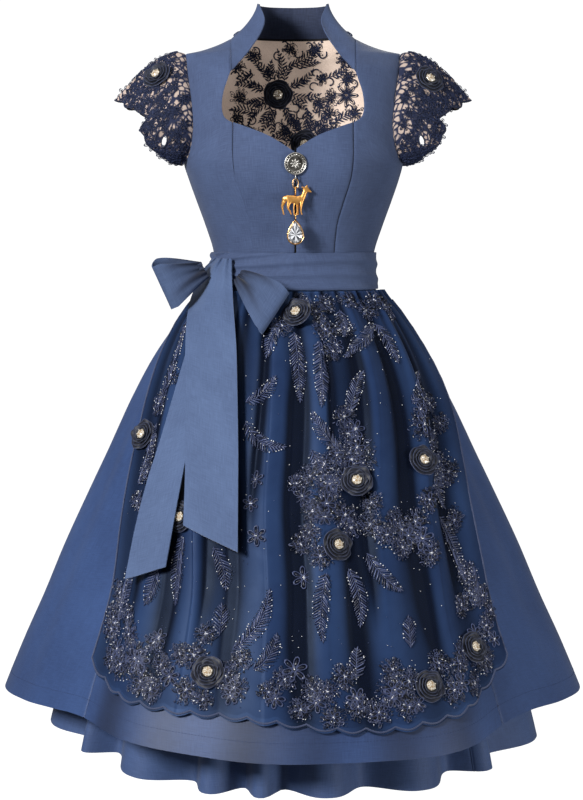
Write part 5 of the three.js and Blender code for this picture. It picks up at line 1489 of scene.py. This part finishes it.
# ---------------------------------------------------------------- sleeves
# Cap sleeves of dense dark corded lace over skin-coloured net, with a scalloped edge and one
# corded eyelet through each side.
SLEEVE_HEM = table(
    "share x y z", (0, 267, 0, -66), (0.15, 252, 19, -77), (0.3, 237, 36, -84), (0.45, 219, 50, -98),
    (0.6, 226, 58, -121), (0.75, 210, 56, -146), (0.9, 187, 42, -163), (1, 174, 26, -168),
)
SLEEVE_BULGE, SLEEVE_SCALLOPS = 18, 11
EYELET_X, EYELET_Z, EYELET_WIDE, EYELET_HIGH = 198, -132, 9, 13
sleeve_hem = [track(SLEEVE_HEM, "share", key) for key in "xyz"]


def sleeve_point(side, along, out):
    along, out = np.broadcast_arrays(np.asarray(along, float), np.asarray(out, float))
    share = np.clip(np.abs(along), 0, 1)
    root_z = mix(-1, -164, 0.5 - 0.5 * np.cos(np.pi * share))
    root_x = armhole_x(root_z)
    way = np.where(along < 0, -1, 1)
    front, back = (bodice_depth(root_x, root_z, reach) for reach in (front_at, back_at))
    depth = np.where(along < 0, front, back)
    root = points(root_x + 0.6, way * depth, root_z)
    hem = points(sleeve_hem[0](share), way * sleeve_hem[1](share), sleeve_hem[2](share))
    scallop = 1 + 0.07 * np.abs(np.sin(np.pi * SLEEVE_SCALLOPS * 0.5 * (along + 1)))
    grid = mix(root, hem, (out * mix(1, scallop, out**4))[..., None])
    early = np.clip(out, 0, 1) ** 0.7
    bulge = SLEEVE_BULGE * mix(1, 0.45, share) * 4 * early * (1 - early)
    lean = np.radians(100 * along)
    grid = grid + points(0.45, 0.85 * np.sin(lean), 0.85 * np.cos(lean)) * bulge[..., None]
    grid[..., 0] *= side
    return grid


SLEEVE_NET = finish(
    "sleeve_net",
    lambda places: (cells(places, 105.0, "F2") - cells(places, 105.0))
    .ramp(0.1, 0.34).blend(shade(26, 35, 66), shade(196, 176, 164)),
    0.85,
    bump=lambda places: cells(places, 300.0),
    depth=0.3,
)


def eyelet_share(side, place, wider=0.0):
    """How far a place on a sleeve lies from the eyelet's middle: 1 on its edge."""
    x, z = side * place[..., 0] - EYELET_X, place[..., 2] - EYELET_Z
    return np.hypot(x / (EYELET_WIDE + wider), z / (EYELET_HIGH + wider))


for name, side in SIDES:

    def on_sleeve(u, v):
        return sleeve_point(side, u * side, v)

    grid = on_sleeve(np.linspace(-1, 1, 221)[None, :], np.linspace(0, 1, 96)[:, None])
    inside = eyelet_share(side, grid)
    hole = inside < 1
    push = np.where(hole, 1 / np.maximum(inside, 0.2), 1)
    grid[..., 0] = side * (EYELET_X + (side * grid[..., 0] - EYELET_X) * push)
    grid[..., 2] = EYELET_Z + (grid[..., 2] - EYELET_Z) * push
    piece = cloth(f"cap_sleeve_{name}", grid, SLEEVE_NET, 0.8, out_from=(side * 165, 0, -95), cut=hole)
    hang(piece, grid, "stretched", f"sleeve_{name}", rests_on=[f"bodice_side_{name}"])
    needle = Needle(on_sleeve, 31, reach=0.03, glint=0.0, e=4e-3)
    for row, v in enumerate((0.14, 0.4, 0.66, 0.9)):
        for u in np.linspace(-0.93, 0.93, 13 + row) + 0.03 * (row % 2):
            needle.flower(u, v + 0.03 * np.sin(9 * u), 9.5 + row * 0.9, petals=6, tint=0.25)
            needle.spray(u + 0.07, v + 0.12, 9, 0.9)

    def on_lace(u, v):
        clear = eyelet_share(side, on_sleeve(u, v), 3) > 1
        return (v > 0.02) & (v < 0.985) & (np.abs(u) < 0.995) & clear

    needle.made(f"sleeve_lace_{name}", LACE_CORD, "navy_lace", on_lace)
    edge = np.linspace(-0.998, 0.998, 420)
    path, normal = on_sleeve(edge, np.full(420, 0.995)), outward(on_sleeve, edge, np.full(420, 0.98))
    cord(f"sleeve_edge_cord_{name}", path, normal, 1.3, LACE_CORD, twist=0.2)
    fine = on_sleeve(*np.meshgrid(np.linspace(-1, 1, 801), np.linspace(0, 1, 401)))
    for place, way in (("front", -1), ("back", 1)):
        wanted = np.sign(fine[..., 1]) == way
        path = []
        for a in np.linspace(0, 2 * np.pi, 49)[:-1]:
            gap_x = side * fine[..., 0] - EYELET_X - EYELET_WIDE * np.cos(a)
            gap_z = fine[..., 2] - EYELET_Z - EYELET_HIGH * np.sin(a)
            away = np.where(wanted, gap_x**2 + gap_z**2, 1e9)
            path.append(fine.reshape(-1, 3)[away.argmin()])
        path = np.array(path)
        if np.ptp(path[:, 2]) > EYELET_HIGH:
            normal = np.tile(unit(np.cross(path[12] - path[36], path[0] - path[24])), (48, 1))
            cord(f"sleeve_eyelet_{name}_{place}", path, normal, 1.5, LACE_CORD, closed=True, twist=0.15)

# ---------------------------------------------------------------- rosettes
# Bias strips of dark taffeta, gathered into four frills round a champagne-coloured cut stone that
# is held by six claws.
# The taffeta is painted near black towards the foot of each frill and much lighter on its rim: painted shade in the
# gathers and a painted highlight on the edges.
TAFFETA = finish(
    "taffeta",
    lambda places: tint(places, 0.8, 1.0).blend(
        tint(places, 0.0, 0.7).blend(shade(3, 5, 13), shade(14, 19, 38)), shade(66, 76, 108)
    ),
    0.55,
    Sheen_Weight=0.08,
)
# Each facet of the stone is painted dark or bright and glows a little: painted reflections and a painted glow.
STONE = finish(
    "cut_stone",
    lambda places: tint(places, 0.0, 1.0).blend(shade(172, 146, 112), shade(255, 250, 236)),
    0.07,
    Metallic=lambda places: tint(places, 0.0, 1.0) * 0.35,
    Specular_IOR_Level=0.9,
    Coat_Weight=0.6,
    Emission_Color=lambda places: tint(places, 0.6, 1.0).blend(shade(30, 24, 16), shade(196, 186, 170)),
    Emission_Strength=0.3,
)


def with_tint(name, corners, faces, tints, material):
    mesh = bpy.data.meshes.new(name)
    mesh.from_pydata(corners.tolist(), [], faces)
    keep_tints(mesh, tints)
    piece = add_piece(name, mesh, material)
    return piece


def corners_of(name):
    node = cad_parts[name]
    return np.array([node.matrix_world @ v.co for v in node.data.vertices]) * 1e3


# The frills from the outermost: inner and outer radius, height of the foot, rise, number of waves
# and how deep they are.
FRILLS = (
    (10, 23.2, 0.2, 2.4, 5, 1.5), (9, 18.8, 0.9, 3.6, 4, 1.4), (7.5, 14.6, 1.6, 4.4, 5, 1.2),
    (5.5, 10.8, 2.0, 5.0, 4, 0.9),
)
FRILL_STEPS = 72


def frills(seed):
    """Four frills as one set of corners, faces and tints, about the z axis."""
    dice = np.random.default_rng(seed)
    corners, faces, tints, start = [], [], [], 0
    angle = np.arange(FRILL_STEPS) * 2 * np.pi / FRILL_STEPS
    share = np.array((0, 0.35, 0.65, 0.88, 1.0))
    for inner, outer, foot, rise, waves, depth in FRILLS:
        a, t = np.meshgrid(angle, share)
        wave = np.sin(waves * a + dice.uniform(0, 6.28)) + 0.5 * np.sin((waves * 2 - 1) * a + dice.uniform(0, 6.28))
        radius = mix(inner, outer * (1 + 0.035 * wave), t)
        height = foot + rise * t**0.8 + depth * t**2 * wave - 1.8 * np.clip(t - 0.8, 0, 1)
        corners.append(np.stack([radius * np.cos(a), radius * np.sin(a), height], -1).reshape(-1, 3))
        for low in start + np.arange(len(share) - 1) * FRILL_STEPS:
            high = low + FRILL_STEPS
            for i in range(FRILL_STEPS):
                k = (i + 1) % FRILL_STEPS
                faces.append([int(low + i), int(low + k), int(high + k), int(high + i)])
        # Tints rise towards each frill's rim, for its painted highlight.
        tints.append((t**2.5).reshape(-1))
        start += a.size
    return np.concatenate(corners), faces, np.concatenate(tints)


def gem(radius, crown):
    """A round cut stone with separate facets, each painted dark or bright at random as painted reflections, and six
    claws over its edge.
    """
    sides, dice = 12, np.random.default_rng(5)
    corners, faces, tints = [], [], []

    def ring(r, h, shift=0.0):
        a = (np.arange(sides) + shift) * 2 * np.pi / sides
        return np.stack([r * np.cos(a), r * np.sin(a), np.full(sides, h)], -1)

    def facet(*points_of, bright=None):
        faces.append(list(range(len(corners), len(corners) + len(points_of))))
        corners.extend(points_of)
        tints.extend([dice.choice((0.05, 0.3, 0.55, 0.95)) if bright is None else bright] * len(points_of))

    base, girdle = ring(radius * 0.9, 0), ring(radius, crown * 0.4)
    star, top = ring(radius * 0.78, crown * 0.78, 0.5), ring(radius * 0.5, crown)
    for i in range(sides):
        k = (i + 1) % sides
        facet(base[i], base[k], girdle[k], girdle[i])
        facet(girdle[i], girdle[k], star[i])
        facet(star[i], girdle[k], star[k])
        facet(star[i], star[k], top[k])
        facet(star[i], top[k], top[i])
        facet(top[i], top[k], np.array((0, 0, crown + 0.05)))
    facet(*base[::-1], bright=0.2)
    shape, sides_of = STAMPS["bead"]
    for i in range(6):
        a = i * np.pi / 3 + 0.26
        middle = np.array((radius * 0.96 * np.cos(a), radius * 0.96 * np.sin(a), crown * 0.62))
        start = len(corners)
        corners.extend(shape * 1.9 + middle)
        faces.extend([[start + c for c in face] for face in sides_of])
        tints.extend([0.9] * len(shape))
    return np.array(corners), faces, np.array(tints)



for number, name in enumerate(sorted(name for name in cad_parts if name.startswith("rosette"))):
    stone_name = name.replace("rosette", "stone")
    flower, stone = corners_of(name), corners_of(stone_name)
    axis = Vector(stone.mean(0) - flower.mean(0)).normalized()
    turned = np.array(axis.to_track_quat("Z", "Y").to_matrix())
    for own, node, (corners, faces, tints), solid, material, slot in (
        ("cloth_" + name, name, frills(number), flower, TAFFETA, "navy_taffeta"),
        ("cut_" + stone_name, stone_name, gem(7.0, 4.6), stone, STONE, "crystal"),
    ):
        along = solid @ turned[:, 2]
        middle = solid.mean(0)
        foot = middle + turned[:, 2] * (along.min() - middle @ turned[:, 2])
        placed = (corners @ turned.T + foot) * 1e-3
        piece = with_tint(own, placed, faces, tints, material)
        if slot == "navy_taffeta":
            piece.data.shade_smooth()
            add_wall(piece, 0.4, 0)
        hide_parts(node)
        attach(piece, "root")

# ---------------------------------------------------------------- stitching
# One row of stitches holds the turned-up hem of the skirt.
HEM_TURNED_UP = 26
THREAD = glassy("sewing_thread", (34, 50, 88), (40, 58, 98), (40, 58, 98), 0.8)
needle = Needle(lambda u, v: skirt_point(u, v, 0.15), 3, e=0.5)
stitch_turns = np.arange(-180, 180, 0.62)
needle.lay("bugle", stitch_turns, SKIRT_HEM_Z + HEM_TURNED_UP, 0.0, 3.1, 0.7, 0.1)
needle.made("skirt_hem_stitches", THREAD, "skirt_linen")

# ---------------------------------------------------------------- pendant
# An antique silver medallion with a ringed, beaded border and a plain flower, pinned to the point
# of the neckline. A gold ring, a cast fawn and a glass drop in a gold rim hang below it.
WIRE = 0.9
MEDAL_Z = -171
medal_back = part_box("medallion")[1][1] * 1e3
medal_face = medal_back - 5
CHAIN_Y = medal_back - 3.9


def metal(name, dark, light, roughness, scale=60.0):
    """A metal whose colour and polish vary a little from place to place."""

    def grain(places, finer, **detail):
        return places["object"].node("TexNoise", None, places["object"], Scale=scale * finer, **detail)

    return finish(
        name,
        lambda places: grain(places, 1, Detail=3.0).ramp(0.35, 0.65).blend(shade(*dark), shade(*light)),
        lambda places: grain(places, 2).ramp(0.3, 0.7) * 0.12 + roughness,
        Metallic=1.0,
    )


SILVER = metal("antique_silver", (150, 147, 142), (206, 203, 198), 0.3)
GOLD = metal("polished_gold", (232, 180, 118), (246, 204, 150), 0.2)


def settled_piece(name, pieces, material, node, body):
    """Joins primitives into one piece that stands for its solid."""
    bpy.ops.object.select_all(action="DESELECT")
    for each in pieces:
        each.select_set(True)
    bpy.context.view_layer.objects.active = pieces[0]
    bpy.ops.object.transform_apply(location=True, rotation=True, scale=True)
    if len(pieces) > 1:
        bpy.ops.object.join()
    piece = bpy.context.object
    piece.name = name
    piece.data.materials.clear()
    piece.data.materials.append(material)
    bpy.ops.object.shade_smooth_by_angle(angle=np.radians(38))
    bpy.ops.object.select_all(action="DESELECT")
    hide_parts(node)
    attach(piece, body)
    return piece


def at(x, y, z):
    return (x * 1e-3, y * 1e-3, z * 1e-3)


FORWARD = (np.radians(90), 0, 0)


def eye(half, half_height, z, edge_on):
    """A closed ring of wire, drawn out in height."""
    bpy.ops.mesh.primitive_torus_add(
        major_segments=40, minor_segments=12, major_radius=half * 1e-3, minor_radius=WIRE * 1e-3, rotation=FORWARD
    )
    made = bpy.context.object
    bpy.ops.object.transform_apply(location=False, rotation=True, scale=False)
    for v in made.data.vertices:
        v.co.z += np.sign(v.co.z) * (half_height - half) * 1e-3 * min(1, (abs(v.co.z) / (half * 1e-3)) ** 0.3)
        if edge_on:
            v.co = (-v.co.y, v.co.x, v.co.z)
        v.co += Vector(at(CENTRE_X, CHAIN_Y, z))
    return made


def medal_part(add, x, y, z, **form):
    """A primitive placed from the middle of the medallion's face."""
    add(location=at(CENTRE_X + x, medal_face + y, MEDAL_Z + z), **form)
    return bpy.context.object


solids = bpy.ops.mesh
parts = [
    medal_part(solids.primitive_cylinder_add, 0, 2.9, 0, vertices=96, radius=0.0156, depth=0.0042, rotation=FORWARD)
]
for major, minor, y in ((15.5, 1.1, 1.6), (11.6, 0.75, 0.8)):
    parts.append(medal_part(
        solids.primitive_torus_add, 0, y, 0, major_segments=96, minor_segments=12, major_radius=major * 1e-3,
        minor_radius=minor * 1e-3, rotation=FORWARD,
    ))
BORDER_BEADS, BORDER_RADIUS = 22, 13.5
for a in np.arange(BORDER_BEADS) * 2 * np.pi / BORDER_BEADS:
    x, z = BORDER_RADIUS * np.cos(a), BORDER_RADIUS * np.sin(a)
    parts.append(medal_part(solids.primitive_ico_sphere_add, x, 0.9, z, subdivisions=1, radius=0.8e-3))
PETALS, PETAL_MIDDLE = 8, 4.5
for a in np.arange(PETALS) * 2 * np.pi / PETALS:
    x, z = PETAL_MIDDLE * np.cos(a), PETAL_MIDDLE * np.sin(a)
    parts.append(medal_part(
        solids.primitive_uv_sphere_add, x, 0.8, z, segments=16, ring_count=8, radius=1e-3, scale=(3.4, 1.5, 1.5),
        rotation=(0, -a, 0),
    ))
parts.append(medal_part(
    solids.primitive_uv_sphere_add, 0, 0.7, 0, segments=20, ring_count=12, radius=1e-3, scale=(1.9, 1.3, 1.9)
))
parts.append(eye(3, 4.5, -191, True))
medal = settled_piece("silver_medallion", parts, SILVER, "medallion", "root")
medal.data.materials.append(metal("blackened_silver", (52, 50, 48), (92, 90, 86), 0.42, 90.0))
for side in medal.data.polygons:
    if abs(side.center.y * 1e3 - medal_face - 0.8) < 0.05 and side.normal.y < -0.9:
        side.material_index = 1
settled_piece("gold_link", [eye(4, 6.9, -200.3, False)], GOLD, "pendant_link", "link")

# The fawn is a tree of bones that are given flesh. Each row holds a corner's parent, its place and
# half its thickness.
FAWN = (
    # rump, belly, chest, neck, head and muzzle
    (-1, -15.6, 0, -5.2, 4.4), (0, -7, 0, -6.4, 6.2), (1, 3, 0, -7.0, 6.2), (2, 10.4, 0, -6.6, 5.3),
    (3, 13.2, 0, -1, 3.9), (4, 14.6, 0, 5, 3.3), (5, 17.4, 0, 8.2, 3.4), (6, 21.8, 0, 4.6, 2.0), (7, 24.2, 0, 2.9, 1.3),
    # ears and tail
    (6, 12.6, -1.4, 9.8, 1.4), (9, 9.4, -1.9, 11.4, 0.7), (6, 17, 1.2, 12.2, 1.4), (11, 18.2, 1.6, 14.2, 0.7),
    (0, -18.2, 0, -3.8, 1.5),
    # the four legs, from the front
    (3, 9.2, -1.6, -14, 2.8), (14, 8.6, -1.8, -20, 1.5), (15, 8.9, -1.8, -26, 1.15), (16, 10.2, -1.8, -30.6, 1.2),
    (2, 4.0, 1.6, -14, 2.8), (18, 4.4, 1.8, -20, 1.5), (19, 4.7, 1.8, -26, 1.15), (20, 4.8, 1.8, -30.6, 1.3),
    (1, -10.4, -1.6, -14, 3.0), (22, -10.6, -1.8, -20, 1.7), (23, -7.2, -1.8, -26, 1.15),
    (24, -5.4, -1.8, -30.4, 1.3),
    (0, -17.4, 1.6, -13, 2.8), (26, -19.2, 1.8, -18, 1.7), (27, -18.0, 1.8, -25, 1.15), (28, -16.4, 1.8, -30.6, 1.3),
)
origin = np.array((CENTRE_X - 0.55, CHAIN_Y, -216.2))
bones = bpy.data.meshes.new("fawn")
bones.from_pydata(
    ((origin + np.array([row[1:4] for row in FAWN])) * 1e-3).tolist(),
    [(row[0], number) for number, row in enumerate(FAWN) if number], [],
)
fawn = add_piece("fawn", bones)
flesh = fawn.modifiers.new("flesh", "SKIN")
flesh.branch_smoothing = 0.5
flesh.use_smooth_shade = True
for number, (skin, row) in enumerate(zip(bones.skin_vertices[0].data, FAWN)):
    skin.radius = (min(row[4], 3.6 + 0.12 * row[4]) * 1.05e-3, row[4] * 1.2e-3)
    skin.use_root = number == 1
fawn.modifiers.new("smooth", "SUBSURF").levels = 2
cast = fawn.modifiers.new("cast", "REMESH")
cast.mode, cast.voxel_size, cast.use_smooth_shade = "VOXEL", 0.6e-3, True
worn = fawn.modifiers.new("worn", "SMOOTH")
worn.factor, worn.iterations = 0.6, 9
apply_modifiers(fawn)
CAST_GOLD = finish("cast_gold", shade(232, 170, 92), 0.36, Metallic=0.72)
settled_piece(
    "gold_fawn", [fawn, eye(3, 5.8, -210.9, True), eye(2.4, 9, -238.2, False)], CAST_GOLD, "deer_charm",
    "charm",
)

DROP_TOP, DROP_BOTTOM, DROP_HALF = -252.6, -290.6, 12.8


def pear(by, count=72):
    """The drop's outline in x and z, grown or shrunk by a margin."""
    half = DROP_HALF + by
    middle = DROP_BOTTOM + DROP_HALF
    a = np.linspace(-np.pi, 0, count // 2)
    low = np.stack([half * np.cos(a), middle + half * np.sin(a)], -1)
    t = np.linspace(0, 1, count // 2 + 2)[1:-1]
    tip = DROP_TOP + by * 1.6
    rise = mix(middle, tip, t)
    width = half * (1 - t**1.9) ** 0.9
    right = np.stack([width, rise], -1)
    return np.concatenate([low, right, [(0, tip)], right[::-1] * (-1, 1)])


def lifted(flat_ring, y):
    """A line in x and z, set behind or in front of the chain."""
    return points(CENTRE_X + flat_ring[:, 0], CHAIN_Y + y, flat_ring[:, 1])


rim = pear(-1.0)
rim_path = lifted(rim, -0.3)
forward = np.tile((0.0, -1, 0), (len(rim_path), 1))
rim_piece = cord("rim", rim_path, forward, 1.0, GOLD, sides=12, closed=True)
back = pear(-0.9)
plate = bpy.data.meshes.new("plate")
count = len(back)
layers = np.concatenate([lifted(back, y) for y in (1.6, 3.0)]) * 1e-3
plate.from_pydata(
    layers.tolist(), [],
    [list(range(count)), list(range(2 * count - 1, count - 1, -1))]
    + [[i, (i + 1) % count, count + (i + 1) % count, count + i][::-1] for i in range(count)],
)
plate_piece = add_piece("plate", plate)
rework(plate, turn_faces_out)
setting = [rim_piece, plate_piece, eye(2.4, 4, -249.1, True)]
settled_piece("drop_rim", setting, GOLD, "drop_setting", "drop")

# The glass's facets are painted dark or bright by turns, as painted reflections, and the bright ones glow a little.
GLASS = finish(
    "cut_glass",
    lambda places: tint(places, 0.0, 1.0).blend(shade(58, 62, 70), shade(246, 248, 252)),
    0.06,
    Emission_Color=lambda places: tint(places, 0.4, 1.0).blend(shade(20, 21, 24), shade(200, 204, 210)),
    Emission_Strength=0.35,
    Specular_IOR_Level=0.9,
    Metallic=lambda places: tint(places, 0.0, 0.6) * 0.3,
    Coat_Weight=0.8,
)
dice = np.random.default_rng(17)
outer, table_edge = pear(-1.7, 20), pear(-6.4, 20)
half_step = (outer + np.roll(outer, -1, 0)) / 2
corners, faces, tints = [], [], []


def join_corners(edit):
    bmesh.ops.remove_doubles(edit, verts=edit.verts, dist=0)


def facet(*places_of, bright):
    faces.append(list(range(len(corners), len(corners) + len(places_of))))
    corners.extend(places_of)
    tints.extend([bright] * len(places_of))


foot, girdle, top = lifted(outer, 1.3), lifted(outer, 0.2), lifted(table_edge, -4.2)
crown = lifted(half_step * 0.62 + table_edge * 0.38, -2.6)
peak = points(CENTRE_X, CHAIN_Y - 4.5, -275.5)
count = len(outer)
for i in range(count):
    k = (i + 1) % count
    facet(foot[i], girdle[i], girdle[k], foot[k], bright=0.4)
    facet(girdle[i], crown[i], girdle[k], bright=dice.choice((0.15, 0.5, 0.95)))
    facet(crown[i], crown[k], girdle[k], bright=dice.choice((0.1, 0.4, 0.9)))
    facet(crown[i], top[i], top[k], bright=(1.0, 0.5, 0.75, 0.3)[i // 2 % 4])
    facet(crown[i], top[k], crown[k], bright=dice.choice((0.05, 0.35, 0.8)))
    facet(top[i], peak, top[k], bright=(0.95, 0.1, 0.8, 0.02)[i // 2 % 4])
facet(*foot, bright=0.2)
corners = np.array(corners).reshape(-1, 3) * 1e-3
piece = with_tint("glass_drop", corners, faces, tints, GLASS)
rework(piece.data, join_corners)
rework(piece.data, turn_faces_out)
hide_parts("drop_crystal")
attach(piece, "drop")
